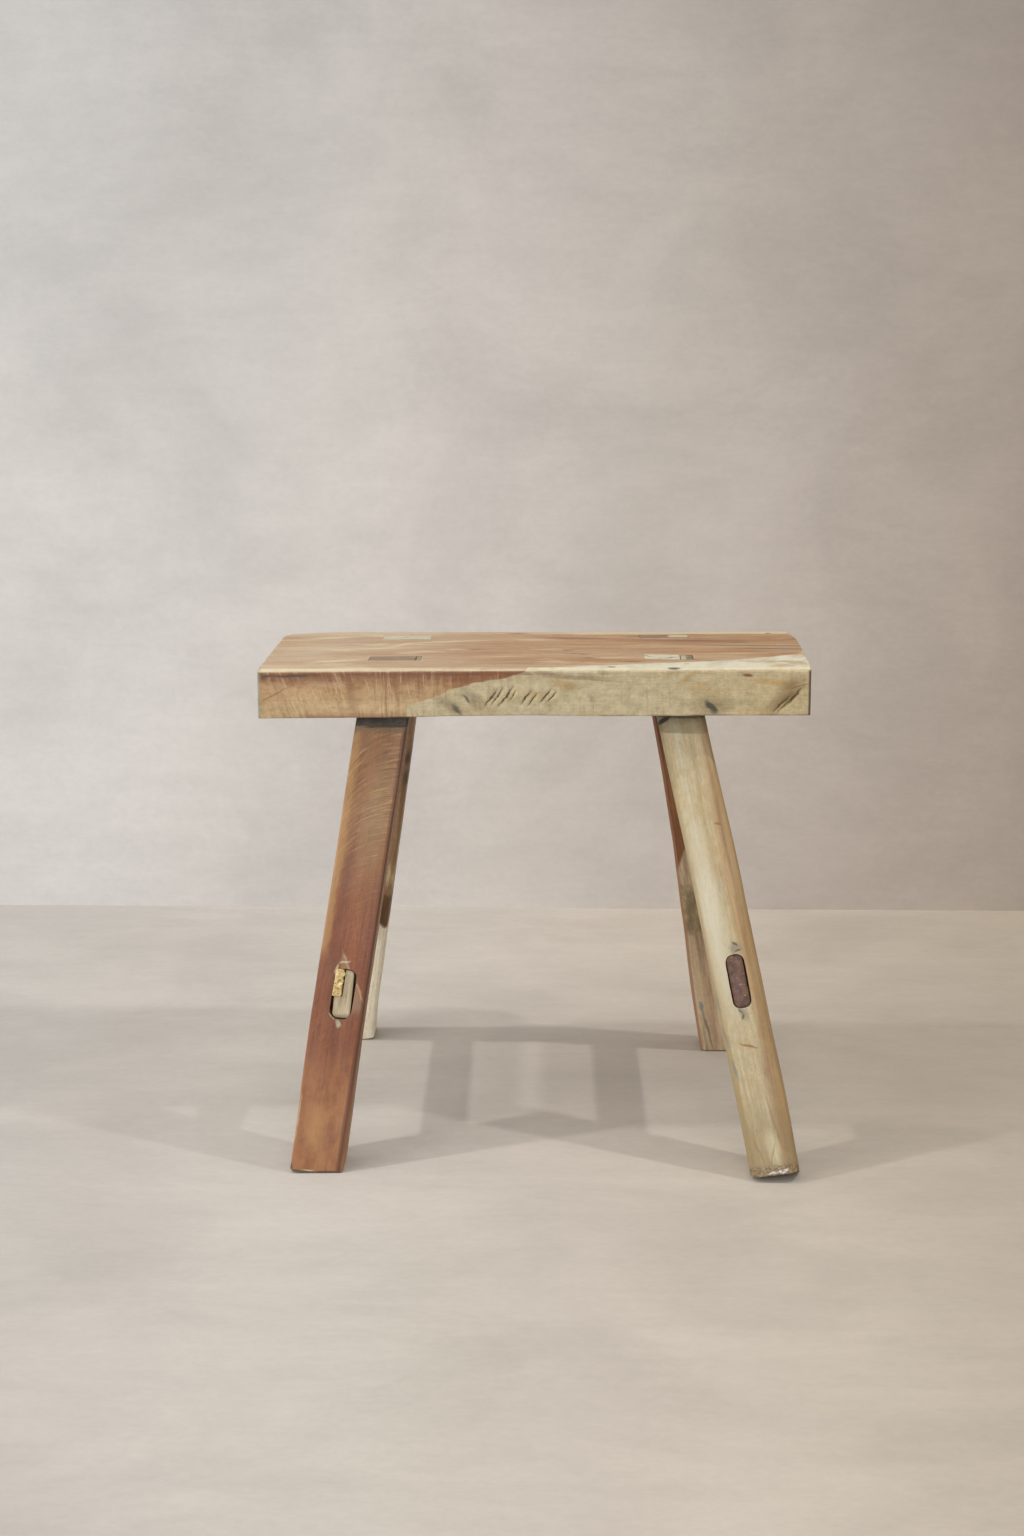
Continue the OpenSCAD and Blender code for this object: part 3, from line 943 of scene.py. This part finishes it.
def seat_saw_marks(wood, uneven, on_front):
    """Strokes of the saw down the front, slanted to the left end, and deep torn gouges in the sapwood."""
    lean = wood.step(wood.x, -125, -195, 0.02, 0.34)
    shift = wood.times(wood.z, lean)
    slid = wood.node("CombineXYZ", {0: wood.plus(wood.x, shift), 1: wood.y, 2: wood.z}).outputs[0]
    strokes = wood.noise((2.4, 40, 38), 31, 5.0, 0.72, 0.0, slid)
    patchy = wood.patches((26, 40, 22), 37, (0.36, 0.6))
    fading = wood.curve(wood.x, [(-250, 0.7), (-150, 1.0), (-60, 0.55), (250, 0.4)])
    strong = wood.times(on_front, patchy, fading)
    dark = wood.times(wood.step(strokes, 0.5, 0.64), strong)
    light = wood.times(wood.step(strokes, 0.48, 0.36), strong)
    wood.paint("6f4c30", dark, 0.55)
    wood.paint("d0b88f", light, 0.5)
    wood.bump(wood.times(strokes, strong), 0.5)
    scratches = [((x - 3, z), (x + 1, z - 13), 1.1) for x, z in PALE_CUTS]
    bruises = [((212, -41), (241, -15), 13), ((222, -24), (240, -12), 12)]
    beside = [((a + 2.2, b - 1), (c + 2.6, d - 1.5), 1.3) for (a, b), (c, d), _ in GOUGES]
    cuts = [("cbb58a", 0.5, 0.5, scratches), ("7d5f35", 0.7, 0.9, bruises), ("c9a862", 0.42, 0.5, beside)]
    wood.marks(cuts, at=seat.face, point=uneven)
    broken = wood.patches((3, 9, 3), 55, (0.3, 0.5, 0.45, 1.0))
    gouged = wood.struck(GOUGES, at=seat.face, edge=0.5, point=uneven)
    wood.bump(gouged, -0.35)
    wood.paint("40351f", gouged, broken, 0.95)


def seat_edges(wood, uneven, on_front):
    """Wear and dirt along the arrises: cream where the front one is rubbed, dark under it and at the ends."""
    from_front = wood.plus(wood.y, -seat.face)
    rubbed = wood.times(wood.step(from_front, 12, 5), wood.step(wood.z, -3.2, -1.4))
    rubbed = wood.times(rubbed, wood.patches((50, 6, 6), 43, (0.3, 0.6, 0.4, 1.0)))
    wood.paint("dfd0ae", rubbed, 0.78)
    under_arris = wood.times(wood.band(wood.apart(uneven)[2], -5.5, -3.6, 1.2), on_front)
    dirt = wood.patches((24, 8, 8), 45, (0.42, 0.62))
    dirt = wood.times(under_arris, dirt, wood.step(wood.x, 120, -40, 0.35, 1.0))
    wood.paint("6b4a36", dirt, 0.6)
    lines = [
        ("54483e", 0.85, 0.6, [((-248, -8), (-236, -4.5), 3), ((-238, -5.5), (-200, -4.5), 2)]),
        ("7d5a3e", 0.6, 0.5, [((-248, -30), (-222, -16), 1.4), ((230, -20), (250, -15), 1.6)]),
    ]
    wood.marks(lines, at=seat.face, point=uneven)
    bottom = wood.times(wood.step(wood.z, -42.5, -44.6), wood.patches((20, 9, 9), 47, (0.45, 0.65)))
    wood.paint("6d553c", bottom, 0.55)
    end = wood.times(wood.step(wood.x, 247.0, 248.6), wood.step(from_front, 16, 8), wood.step(wood.z, -2, -5))
    wood.paint("453722", end, 0.9)
    left = wood.times(wood.step(wood.x, -245.5, -249), wood.step(from_front, 20, 8))
    wood.paint("8f917d", left, 0.6)


def seat_top_marks(wood, on_top):
    """What use has left on the top: scratches, dents, dark streaks to the rear right and a pale rear edge."""
    ragged = wood.plus(wood.y, wood.times(wood.noise((40, 9, 9), 57, 4.0), 16.0))
    rear = wood.times(wood.step(ragged, 86, 95), wood.step(wood.x, -60, 60, 0.3, 0.85), on_top)
    wood.paint("e3d4b2", rear, 0.75)
    pale = [((-142, 18), (-118, 40), 7), ((-118, 40), (-62, 50), 7), ((-205, -60), (-160, -46), 9),
        ((-185, 6), (-120, 14), 5), ((-225, 60), (-180, 70), 8)]
    dark = [((140, 24), (254, 12), 9), ((95, 50), (200, 42), 8), ((-66, 6), (-50, 5), 4),
        ((0, 66), (60, 60), 8), ((84, 72), (124, 69), 9), ((-30, 88), (-12, 86), 5),
        ((180, 6), (252, -4), 7)]
    grey = [((76, -22), (108, -23), 5), ((226, 4), (240, 2), 8)]
    nicks = [((24, -1), (34, -3), 3), ((42, -42), (55, -43), 3.5)]
    marks = [("e3d2b2", 0.62, 0.9, pale), ("74543f", 0.7, 0.8, dark), ("928c94", 0.55, 0.7, grey),
        ("6b5240", 0.8, 0.5, nicks)]
    wood.marks(marks, face="z", depth=5.0)
    spots = [wood.blob((x, y, -1), (across, along, 9), 0.3) for x, y, across, along in DENTS]
    spots = wood.times(wood.most(*spots), wood.patches((2.2, 3, 3), 53, (0.3, 0.5, 0.6, 1.0)))
    wood.paint("46483a", spots, 0.92)
    wood.strokes("7a3f24", 0.9, [((188, -7), (197, -8), 3)], at=seat.face, edge=0.5)


def red_leg_material(leg):
    """Red-brown wood, tan and arced by the saw higher up, with torn pale wood round the mortise."""
    wood = Wood("red_brown_leg", "z")
    uneven = wood.wobbled((8, 8, 12), 2.4, 5)
    x, _, z = wood.apart(uneven)
    on_front = wood.step(wood.facing_y, -0.5, -0.85)
    wood.figure([(0.3, "723c24"), (0.45, "7c472b"), (0.58, "864f31"), (0.74, "935d37")], 3, 12.0)
    upper = wood.times(wood.step(z, 205, 330), wood.patches((14, 14, 60), 61, (0.25, 0.7, 0.55, 1.0)))
    wood.paint("916b43", upper, 0.75)
    foot = wood.step(z, 120, 55)
    foot = wood.times(foot, wood.patches((13, 13, 24), 63, (0.32, 0.62, 0.4, 1.0), 4.0, 0.65))
    wood.paint("a27045", foot, 0.8)
    gold = wood.blob((-6, -19, 33), (8, 12, 17), 0.8, uneven)
    wood.paint("aa804f", gold, 0.6)
    haze = wood.blob((5, -19, 325), (11, 10, 46), 0.8, uneven)
    wood.paint("8b7553", haze, 0.5)
    rubbed = wood.times(wood.step(x, -16.5, -22), wood.band(z, 205, 395, 22))
    wood.paint("ae8756", rubbed, 0.62)
    dark = wood.most(wood.blob((-13, -19, 178), (5, 12, 38), 0.9, uneven),
        wood.blob((-12, -19, 265), (4, 12, 50), 0.9, uneven))
    wood.paint("613629", dark, 0.45)
    leg_arcs(wood, on_front)
    red_leg_marks(wood, uneven, x, z, on_front)
    leg_top_dirt_and_shade(wood, leg, "6b6459", 17, 0.45)
    # A near-black band from the seat down to just above the kerf: painted shade under the seat
    leg_top_dirt_and_shade(wood, leg, "37342e", LEG_KERF - 1.5, 1.0, 1.5)
    leg_ends(wood, 71, "9c8468")
    rough = wood.patches((14, 14, 60), 8, (0.3, 0.7, 0.42, 0.6))
    return wood.finish(rough)


def leg_arcs(wood, on_front):
    """Arcs of the saw across a leg's face, each a stretch of the same circle."""
    radius, centre = 62.0, 30.0
    away = wood.minus(wood.x, centre)
    drop = wood.maths("SQRT", wood.maths("MAXIMUM", wood.minus(radius ** 2, wood.times(away, away)), 1.0))
    slid = wood.node("CombineXYZ", {0: wood.x, 1: wood.y, 2: wood.minus(wood.z, drop)}).outputs[0]
    arcs = wood.noise((26, 60, 2.0), 65, 5.0, 0.75, 0.0, slid)
    patchy = wood.patches((13, 16, 20), 66, (0.32, 0.6, 0.2, 1.0), 2.0)
    strong = wood.times(patchy, on_front, wood.step(wood.z, 215, 350, 0.1, 1.0))
    wood.paint("c19a68", wood.step(arcs, 0.5, 0.66), strong, 0.65)
    wood.paint("5c3a27", wood.step(arcs, 0.48, 0.34), strong, 0.55)
    wood.bump(wood.times(arcs, strong), 0.35)


def red_leg_marks(wood, uneven, x, z, on_front):
    """The pale torn wood round the mortise, dark knots, a dark line down the inner arris and the worn foot,
    with painted shadow at its lifted left corner.
    """
    slope = wood.plus(z, wood.times(x, 1.6))
    torn = wood.times(wood.step(slope, 191, 187), wood.step(x, -8, -4), wood.step(z, 138, 152))
    torn = wood.times(torn, wood.step(x, 20, 17), on_front)
    wood.paint("9c7958", torn, 0.6)
    line = wood.band(slope, 185.5, 186.5, 1.2)
    edge = wood.times(line, wood.band(z, 152, 192, 6), wood.step(x, -7, -4), on_front)
    wood.paint("ab8e70", edge, 0.8)
    rim = [((-11, 178), (-8, 186), 2), ((-7, 187), (2, 190), 2), ((-2, 137), (0, 129), 4),
        ((-10, 140), (-5, 135), 1.5)]
    grey = [((12, 154), (16, 148), 5), ((-2, 136), (-1, 131), 1.6)]
    knots = [((-13, 362), (-15, 349), 5), ((-14, 385), (-9, 393), 7), ((14, 96), (15, 88), 6),
        ((17, 40), (13, 26), 6), ((-18, 27), (-17, 19), 5)]
    marks = [("bdb594", 0.75, 0.5, rim, 0.2), ("756c62", 0.6, 0.8, grey), ("5b3a2e", 0.2, 0.9, knots)]
    wood.marks(marks, at=-19, point=uneven)
    arris = wood.times(wood.band(wood.x, 18.9, 21.2, 2.4), wood.step(wood.y, -8, -15))
    wood.paint("5c3219", arris, 0.75)
    core = wood.times(wood.band(wood.x, 20.0, 20.7, 0.6), wood.step(wood.y, -8, -15))
    wood.paint("3a2012", core, 0.6)
    inner = wood.times(wood.step(wood.facing_x, 0.5, 0.85), wood.step(z, 10, 30))
    wood.paint("7c5638", inner, 0.55)
    wood.strokes("ab9272", 0.75, [((-25, 10), (-24, 62), 3.5)], edge=0.5, at=-19, point=uneven)
    pale = [((-17, -4.9), (-3, -3.0), 1.3)]
    # Dark along the foot's bottom edge and left corner: chipped wood, and painted shadow of the gap under the
    # lifted corner
    chip_and_gap_shadow = [((-26, 3), (-22.5, -4.5), 3.2), ((-25, -5.6), (-4, -4.4), 2.0), ((-4, -4.2), (22, -0.4), 1.5)]
    wood.marks([("d9c2a4", 0.8, 0.5, pale), ("383c31", 0.9, 0.5, chip_and_gap_shadow)], at=-19)


def pale_leg_material(leg):
    """Cream sapwood with a tan stripe down its outer third, a few knots and grey handling marks."""
    wood = Wood("pale_leg", "z")
    uneven = wood.wobbled((9, 9, 26), 3.2, 7)
    x, _, z = wood.apart(uneven)
    wood.figure([(0.3, "a08b64"), (0.45, "b1a07c"), (0.6, "b9ab8a"), (0.76, "c2b79b")], 7, 13.0, 0.75)
    golden = wood.patches((12, 12, 80), 73, (0.5, 0.68))
    wood.paint("a88f64", golden, 0.4)
    line = wood.curve(wood.z, [(-20, 8), (60, 7), (150, 10), (250, 8), (330, 9), (430, 15)])
    stripe = wood.step(wood.minus(x, line), -3.0, 6.0)
    tans = [(0.35, "7c5830"), (0.5, "916c40"), (0.66, "a88253")]
    shades = wood.tones(wood.noise((5, 5, 120), 75, 4.0), tans)
    wood.colour = wood.mix(wood.colour, shades, wood.times(stripe, 0.72))
    pale = wood.stroke((1, 40), (7, 12), 11, at=-20, depth=14, edge=0.7, point=uneven)
    dim = wood.times(wood.step(z, 95, 8), wood.besides(pale))
    wood.paint("83704f", dim, 0.62)
    clouds = wood.patches((10, 10, 13), 76, (0.48, 0.64), 4.0, 0.65)
    wood.paint("a3895a", clouds, 0.38)
    wood.paint("bbb08d", pale, 0.45)
    grey = wood.blob((-9, -20, 235), (9, 14, 75), 0.9, uneven)
    wood.paint("ccc6b0", grey, 0.68)
    side = wood.step(wood.facing_x, -0.55, -0.9)
    wood.paint("a18d66", side, 0.5)
    pale_leg_marks(wood, uneven, leg)
    leg_top_dirt_and_shade(wood, leg, "6b6042", 20, 0.6, 1.2)
    # A narrow dark band just under the seat: painted shadow of the seat
    leg_top_dirt_and_shade(wood, leg, "3a3428", 6, 0.7, 1.0)
    oval = wood.stroke((-25, 421.5), (-9, 426), 4.4, at=-16, depth=10, edge=0.2)
    wood.paint("2c2a24", oval)
    leg_ends(wood, 77, "e6dfc4")
    on_end = wood.step(wood.facing_z, 0.75, 0.92)
    dark = [((-2, -4), (7, -3), 3), ((-22, 5), (-17, -2), 3), ((-10, -8), (2, -8), 2.4)]
    spots = wood.struck(dark, face="z", at=leg.top, depth=14, edge=0.6, point=uneven)
    wood.paint("4c4636", spots, on_end, 0.8)
    rough = wood.patches((14, 14, 60), 78, (0.3, 0.7, 0.4, 0.6))
    return wood.finish(rough)


def pale_leg_marks(wood, uneven, leg):
    """Knots, dirt above and below the mortise, a grey streak down the left, and splashes at the foot."""
    dirt = [((4, 211), (8, 203), 9), ((1, 157), (2, 143), 6)]
    rings = [((5.5, 213), (9, 209), 1.8), ((11, 206), (6, 204), 1.6), ((-2, 155), (1, 148), 1.6),
        ((2, 148), (-1, 143), 1.6)]
    knots = [((11, 322), (16, 320), 2.4), ((-6, 122), (8, 116), 2.2)]
    grey = [((-20, 172), (-19, 150), 1.6), ((-19, 140), (-17, 118), 2.4), ((-17, 108), (-16, 92), 4)]
    lines = [((-1, 8), (6, 30), 1.4), ((6, 75), (12, 22), 1.6), ((-12, 40), (-7, 10), 1.2)]
    marks = [("7a7264", 0.7, 0.8, dirt, 0.15), ("4a4438", 0.8, 0.5, rings, 0.2),
        ("8a5f31", 0.85, 0.5, knots, 0.2), ("7b7a70", 0.75, 0.6, grey, 0.1), ("86683f", 0.55, 0.6, lines)]
    wood.marks(marks, at=-20, depth=8.0, point=uneven)
    splash = wood.struck([((-5, 4.2), (5, 3.6), 1.5), ((4, 3.9), (14, 4.2), 2.8)], at=-20, point=uneven)
    level = wood.plus(wood.z, wood.times(wood.x, leg.axes[2, 0] / leg.axes[2, 2] - FOOT_TILT))
    fringe = wood.times(wood.step(level, FOOT_LIFT + 5, FOOT_LIFT + 1.5),
        wood.patches((3, 3, 2), 74, (0.35, 0.6)))
    wood.paint("5f4a33", fringe, 0.7)
    broken = wood.patches((2.5, 3, 1.5), 72, (0.38, 0.5, 0.15, 1.0))
    wood.paint("dad6d2", splash, broken, 0.85)


def rear_left_leg_material(leg):
    """Brown wood down to a curved line, with dark spots, and cream below it."""
    wood = Wood("rear_left_leg", "z")
    uneven = wood.wobbled((9, 9, 14), 3.0, 9)
    z = wood.apart(uneven)[2]
    wood.figure([(0.3, "7a5a3e"), (0.46, "91704f"), (0.6, "a27f5c"), (0.75, "b8986f")], 9, 10.0)
    line = wood.curve(wood.x, [(-24, 205), (-6, 180), (10, 152), (24, 148)])
    brown = wood.colour
    wood.figure([(0.3, "e0d0b0"), (0.5, "eee3c9"), (0.7, "f5eedd")], 14, 12.0, 0.7)
    wood.over(brown, wood.step(wood.minus(line, z), -3, 3))
    edge = wood.times(wood.band(wood.minus(line, z), -34, -2, 5), wood.step(wood.x, -10, 12, 0.4, 0.85))
    golden = wood.times(wood.band(wood.minus(line, z), -85, -42, 12),
        wood.patches((9, 9, 30), 82, (0.35, 0.6)))
    wood.paint("cdb98a", golden, 0.8)
    wood.paint("62441f", edge)
    spots = [((18, 352), (20, 338), 9), ((20, 330), (19, 314), 8), ((-6, 300), (-4, 286), 8),
        ((4, 250), (8, 238), 6)]
    for side in (-18, 18):
        wood.strokes("40382c", 0.75, spots, at=side, depth=30.0, edge=0.8, point=uneven)
    leg_top_dirt_and_shade(wood, leg, "55483a", 14, 0.7)
    leg_ends(wood, 79, "ddd3b8")
    return wood.finish(wood.patches((14, 14, 60), 81, (0.3, 0.7, 0.45, 0.62)))


def rear_right_leg_material(leg):
    """Brown wood with a pink-tan chamfer to the inside, a dark olive patch, and tan wood lower down."""
    wood = Wood("rear_right_leg", "z")
    uneven = wood.wobbled((9, 9, 16), 2.6, 12)
    z = wood.apart(uneven)[2]
    wood.figure([(0.3, "67401f"), (0.46, "7a4c2a"), (0.6, "8a5a33"), (0.76, "a06c40")], 12, 10.0)
    brown = wood.colour
    wood.figure([(0.3, "aa8e71"), (0.5, "c5ac8b"), (0.7, "dcc4a3")], 15, 11.0, 0.8)
    low = wood.step(wood.plus(z, wood.times(wood.x, -2.0)), 264, 255)
    wood.over(brown, low)
    streak = wood.times(wood.patches((5, 5, 70), 83, (0.5, 0.66)), low)
    wood.paint("7f6a53", streak, 0.55)
    patch = wood.times(wood.band(z, 144, 199, 2.5), wood.step(wood.facing_y, -0.35, -0.6))
    olives = [(0.36, "7b6d54"), (0.5, "9b8966"), (0.66, "cbaf7f")]
    mottled = wood.tones(wood.noise((9, 9, 16), 85, 4.0), olives)
    wood.colour = wood.mix(wood.colour, mottled, wood.times(patch, 0.85))
    chamfer = wood.times(wood.step(wood.facing_x, -0.3, -0.75), wood.step(wood.facing_y, 0.5, 0.1))
    wood.paint("9f7352", chamfer, 0.8)
    cracks = [("7d858a", 0.8, 0.5, [((-18, 66), (-16.5, 54), 4.5)], 0.1),
        ("6b665a", 0.75, 0.5, [((-17, 56), (-12, 6), 2.6)], 0.1)]
    wood.marks(cracks, at=-18, depth=9.0, point=uneven)
    leg_top_dirt_and_shade(wood, leg, "4d4033", 14, 0.6)
    leg_ends(wood, 86, "ddd0ae")
    stained = wood.most(wood.step(wood.x, 6, 3), wood.step(wood.y, -2.5, -4))
    stained = wood.times(stained, wood.step(wood.facing_z, 0.75, 0.92))
    wood.paint("7b5742", stained, 0.85)
    return wood.finish(wood.patches((14, 14, 60), 87, (0.3, 0.7, 0.45, 0.62)))


def leg_top_dirt_and_shade(wood, leg, code, reach, strength, soft=2.5):
    """A dark band that a leg carries under the seat, down to a level line, for dirt and for painted shade
    from the seat.
    """
    patchy = wood.patches((9, 9, 5), 89, (0.3, 0.55, 0.6, 1.0), 4.0)
    slope_x, slope_y = (leg.axes[2, :2] / leg.axes[2, 2]).tolist()
    level = wood.plus(wood.z, wood.times(wood.x, slope_x), wood.times(wood.y, slope_y))
    high = wood.band(level, leg.shoulder - reach, leg.shoulder + 3, soft)
    wood.paint(code, high, patchy, strength)


def leg_ends(wood, seed, code):
    """End grain on the tenon's end, which is worn with the seat, and on the sole, darkened by dirt and by
    painted shade under the foot.
    """
    up = wood.step(wood.facing_z, 0.35, 0.6)
    wood.paint(code, up, 0.9)
    wood.shade(wood.step(up, 0, 1, 1.0, TOP_PATINA))
    # The sole's dark colour: dirt, and painted shade under the foot
    down = wood.step(wood.facing_z, -0.75, -0.92)
    wood.paint("3f352a", down, 0.7)
    wood.end_grain(wood.most(up, down), ((wood.x, -60.0), (wood.y, 35.0)), seed, "4a3f30")


def pale_bar_material():
    """Cream wood of the left stretcher, with dull end grain and a greyer foot to its front end."""
    wood = Wood("pale_bar", "y")
    wood.figure([(0.3, "b49d72"), (0.48, "c6b48e"), (0.62, "cec09e"), (0.76, "d7ccb0")], 15, 10.0, 0.8)
    ends = wood.step(wood.maths("ABSOLUTE", wood.facing_y), 0.6, 0.9)
    lines = wood.noise((2.2, 30, 26), 91, 4.0, 0.65)
    sides = wood.colour
    wood.colour = wood.tones(lines, [(0.34, "9a886d"), (0.5, "b3a285"), (0.66, "c4b69b")])
    foot = wood.step(wood.plus(wood.z, wood.times(wood.x, -0.15)), -17, -19)
    wood.paint("8f7f68", foot, 0.8)
    wood.over(sides, wood.times(ends, 0.9))
    bar_dirt(wood, 0.35)
    wood.bump(wood.times(lines, ends), 0.3)
    return wood.finish(0.62)


def dark_bar_material():
    """Dark red-brown wood of the right stretcher: purple and bruised on its ends, which have a pale rim."""
    wood = Wood("dark_bar", "y")
    wood.figure([(0.3, "573a2c"), (0.46, "6c4b38"), (0.6, "7c5943"), (0.75, "8f6b50")], 18, 10.0)
    ends = wood.step(wood.maths("ABSOLUTE", wood.facing_y), 0.6, 0.9)
    bruises = wood.noise((5, 30, 6), 93, 4.0, 0.6)
    sides = wood.colour
    wood.colour = wood.tones(bruises, [(0.34, "3d241c"), (0.48, "56382b"), (0.62, "6c4a38")])
    purple = wood.blob((-2, 0, -5), (4, 400, 12), 0.8)
    wood.paint("5b4452", purple, 0.3)
    flecks = wood.patches((2.4, 30, 1.6), 95, (0.62, 0.7))
    wood.paint("b08f68", flecks, 0.75)
    wood.over(sides, wood.times(ends, 0.92))
    rim = wood.times(wood.band(wood.maths("ABSOLUTE", wood.facing_y), 0.35, 0.8, 0.15), 0.65)
    wood.paint("bb9272", rim, wood.patches((6, 30, 6), 96, (0.4, 0.6)))
    bar_dirt(wood, 0.3)
    wood.bump(wood.times(bruises, ends), 0.4)
    return wood.finish(0.5)


def bar_dirt(wood, strength):
    """Grey handling dirt in clouds along a stretcher."""
    clouds = wood.patches((16, 40, 16), 97, (0.5, 0.68), 4.0, 0.6)
    wood.paint("6f6250", clouds, strength)


def packing_material():
    """The torn yellow softwood of the packing and of the narrow wedge."""
    wood = Wood("torn_packing", "y")
    wood.figure([(0.3, "b08d49"), (0.45, "cfb377"), (0.6, "dfcb98"), (0.75, "efe2ba")], 61, 4.0)
    torn = wood.patches((2.6, 3.5, 2.2), 98, (0.46, 0.32), 3.0, 0.65)
    wood.paint("a06f22", torn, 0.8)
    wood.bump(torn, -0.5)
    worn = wood.step(wood.facing_z, 0.7, 0.9)
    wood.paint("8a8468", worn, wood.step(wood.z, 300, 310))
    return wood.finish(0.75)


def wedge_material():
    """The dark, greenish end of the wide wedge, blackened where it splits."""
    wood = Wood("dark_wedge", "z")
    wood.figure([(0.3, "4f4a38"), (0.48, "77705a"), (0.62, "948c70"), (0.76, "b4ab8a")], 67, 4.0)
    splits = wood.patches((3, 2.4, 20), 99, (0.46, 0.36), 4.0, 0.65)
    wood.paint("26261d", splits, 0.85)
    cream = wood.times(wood.step(wood.facing_z, 0.7, 0.9), wood.step(wood.x, 16, 14.5))
    wood.paint("b9ad8c", cream, 0.8)
    wood.bump(splits, -0.5)
    return wood.finish(0.62)


# Floor, backdrop, light and camera
# ------------------------------------------------------------


# In metres: where the backdrop stands, and how far floor and backdrop reach to the sides, in front and up
BACKDROP_Y = 0.634
STAGE_REACH = 4.0
STAGE_FRONT = -3.2
# The camera that fits the photo: its place in metres, and its turn to the left, dip and roll in degrees
CAMERA_PLACE = (0.0497, -1.9771, 0.8119)
CAMERA_HEADING = 2.13
CAMERA_DIP = 13.51
CAMERA_ROLL = -0.31
# Each lamp: its place in metres, its size and its power
LAMPS = {
    "lamp_left": ((-0.92, -0.17, 1.5), 0.06, 6.6),
    "lamp_right": ((0.97, -0.24, 1.5), 0.06, 6.6),
    "window_left": ((-2.4, -1.6, 1.9), 1.8, 25),
    "front_fill": ((0.3, -3.6, 1.6), 2.5, 42),
    "side_left": ((-3.0, 0.0, 1.2), 2.0, 26),
    "ceiling": ((0, -0.4, 3.2), 2.6, 6),
}
LAMP_TARGET = Vector((0, 0, 0.3))


class Sheet(Surface):
    """A painted sheet of the stage, whose coordinates are the row frame's, in millimetres."""

    def coordinates(self):
        place = self.node("TexCoord").outputs["Object"]
        return self.node("VectorMath", {0: place, 3: 1 / MM}, operation="SCALE").outputs[0]


def plain_sheet(name, corners_at, material):
    mesh = bpy.data.meshes.new(name)
    mesh.from_pydata(corners_at, [], [(0, 1, 2, 3)])
    mesh.materials.append(material)
    new_object(name, mesh)


def sheet_material(name, left, right, sizes, seed):
    """Limewash in soft clouds, lightly brushed from side to side, under painted light: lighter on the left
    and darker to the right, darker higher up, towards the sides and on the floor in front of the stool.
    """
    sheet = Sheet(name)
    wide, brushed, fine = sizes
    # Painted light: the tone goes from the lit left to the darker right
    sheet.colour = tone(left)
    sheet.paint(right, sheet.step(sheet.x, -700, 900))
    clouds = sheet.noise(wide, seed, 7.0, 0.62, 0.5)
    sheet.shade(sheet.step(clouds, 0.3, 0.7, 0.93, 1.07))
    strokes = sheet.noise(brushed, seed + 1, 7.0, 0.72, 0.4)
    sheet.shade(sheet.step(strokes, 0.3, 0.7, 0.975, 1.025))
    specks = sheet.noise(fine, seed + 2, 4.0, 0.7)
    sheet.shade(sheet.step(specks, 0.25, 0.75, 0.97, 1.03))
    # Painted light and shade: lighter low down and darker higher up, darker towards both sides, and darker on
    # the floor in front of the stool
    sheet.shade(sheet.step(sheet.z, 0, 1250, 1.28, 0.78))
    sheet.shade(sheet.curve(sheet.x, [(-900, 0.84), (-450, 0.88), (0, 0.99), (450, 0.89), (900, 0.83)]))
    sheet.shade(sheet.curve(sheet.y, [(-900, 0.97), (-500, 0.88), (-250, 0.88), (640, 1.0)]))
    sheet.bump(strokes, 0.3)
    return sheet.finish(0.8)


def build_stage():
    wide, near, far = STAGE_REACH, STAGE_FRONT, BACKDROP_Y
    floor = sheet_material("pale_floor", "b4afa9", "b0a392", ((260, 150, 900), (110, 22, 900), (9, 6, 9)), 4)
    back = sheet_material("pale_backdrop", "c2bfbc", "9c8f83", ((260, 900, 210), (90, 900, 22), (9, 9, 6)), 9)
    plain_sheet("floor", [(-wide, near, 0), (wide, near, 0), (wide, far, 0), (-wide, far, 0)], floor)
    plain_sheet("backdrop", [(-wide, far, 0), (wide, far, 0), (wide, far, wide), (-wide, far, wide)], back)


def build_lamp(name, place, size, power):
    data = bpy.data.lights.new(name, "AREA")
    data.shape = "DISK"
    data.size = size
    data.energy = power
    light = new_object(name, data)
    light.location = place
    light.rotation_euler = (LAMP_TARGET - Vector(place)).to_track_quat("-Z", "Y").to_euler()


def build_light():
    """A pale room, small lamps over the stool's ends, and large soft lights in front and to the left."""
    world = bpy.data.worlds.new("soft_room")
    world.use_nodes = True
    sky = world.node_tree.nodes["Background"]
    sky.inputs[0].default_value = (1.0, 0.985, 0.96, 1)
    sky.inputs[1].default_value = 0.56
    bpy.context.scene.world = world
    for name, facts in LAMPS.items():
        build_lamp(name, *facts)


def build_camera():
    data = bpy.data.cameras.new("camera")
    data.lens = 50
    data.sensor_width = 36
    camera = new_object("camera", data)
    heading = Matrix.Rotation(math.radians(CAMERA_HEADING), 4, "Z")
    pitch = Matrix.Rotation(math.radians(90 - CAMERA_DIP), 4, "X")
    roll = Matrix.Rotation(math.radians(CAMERA_ROLL), 4, "Z")
    camera.matrix_world = Matrix.Translation(CAMERA_PLACE) @ heading @ pitch @ roll
    bpy.context.scene.camera = camera


seat = Seat()
legs = {name: Leg(name) for name in LEGS}
bars = {}
for name in STRETCHERS:
    side = name.removeprefix("stretcher_")
    bars[name] = Stretcher(name, legs["leg_front_" + side], legs["leg_rear_" + side])

build_camera()
build_light()
build_stage()
build_seat()
build_leg("leg_front_left", red_leg_material)
build_leg("leg_front_right", pale_leg_material)
build_leg("leg_rear_left", rear_left_leg_material)
build_leg("leg_rear_right", rear_right_leg_material)
build_stretcher("stretcher_left", pale_bar_material())
build_stretcher("stretcher_right", dark_bar_material())
build_small_pieces()
bpy.context.scene.view_settings.view_transform = "Standard"
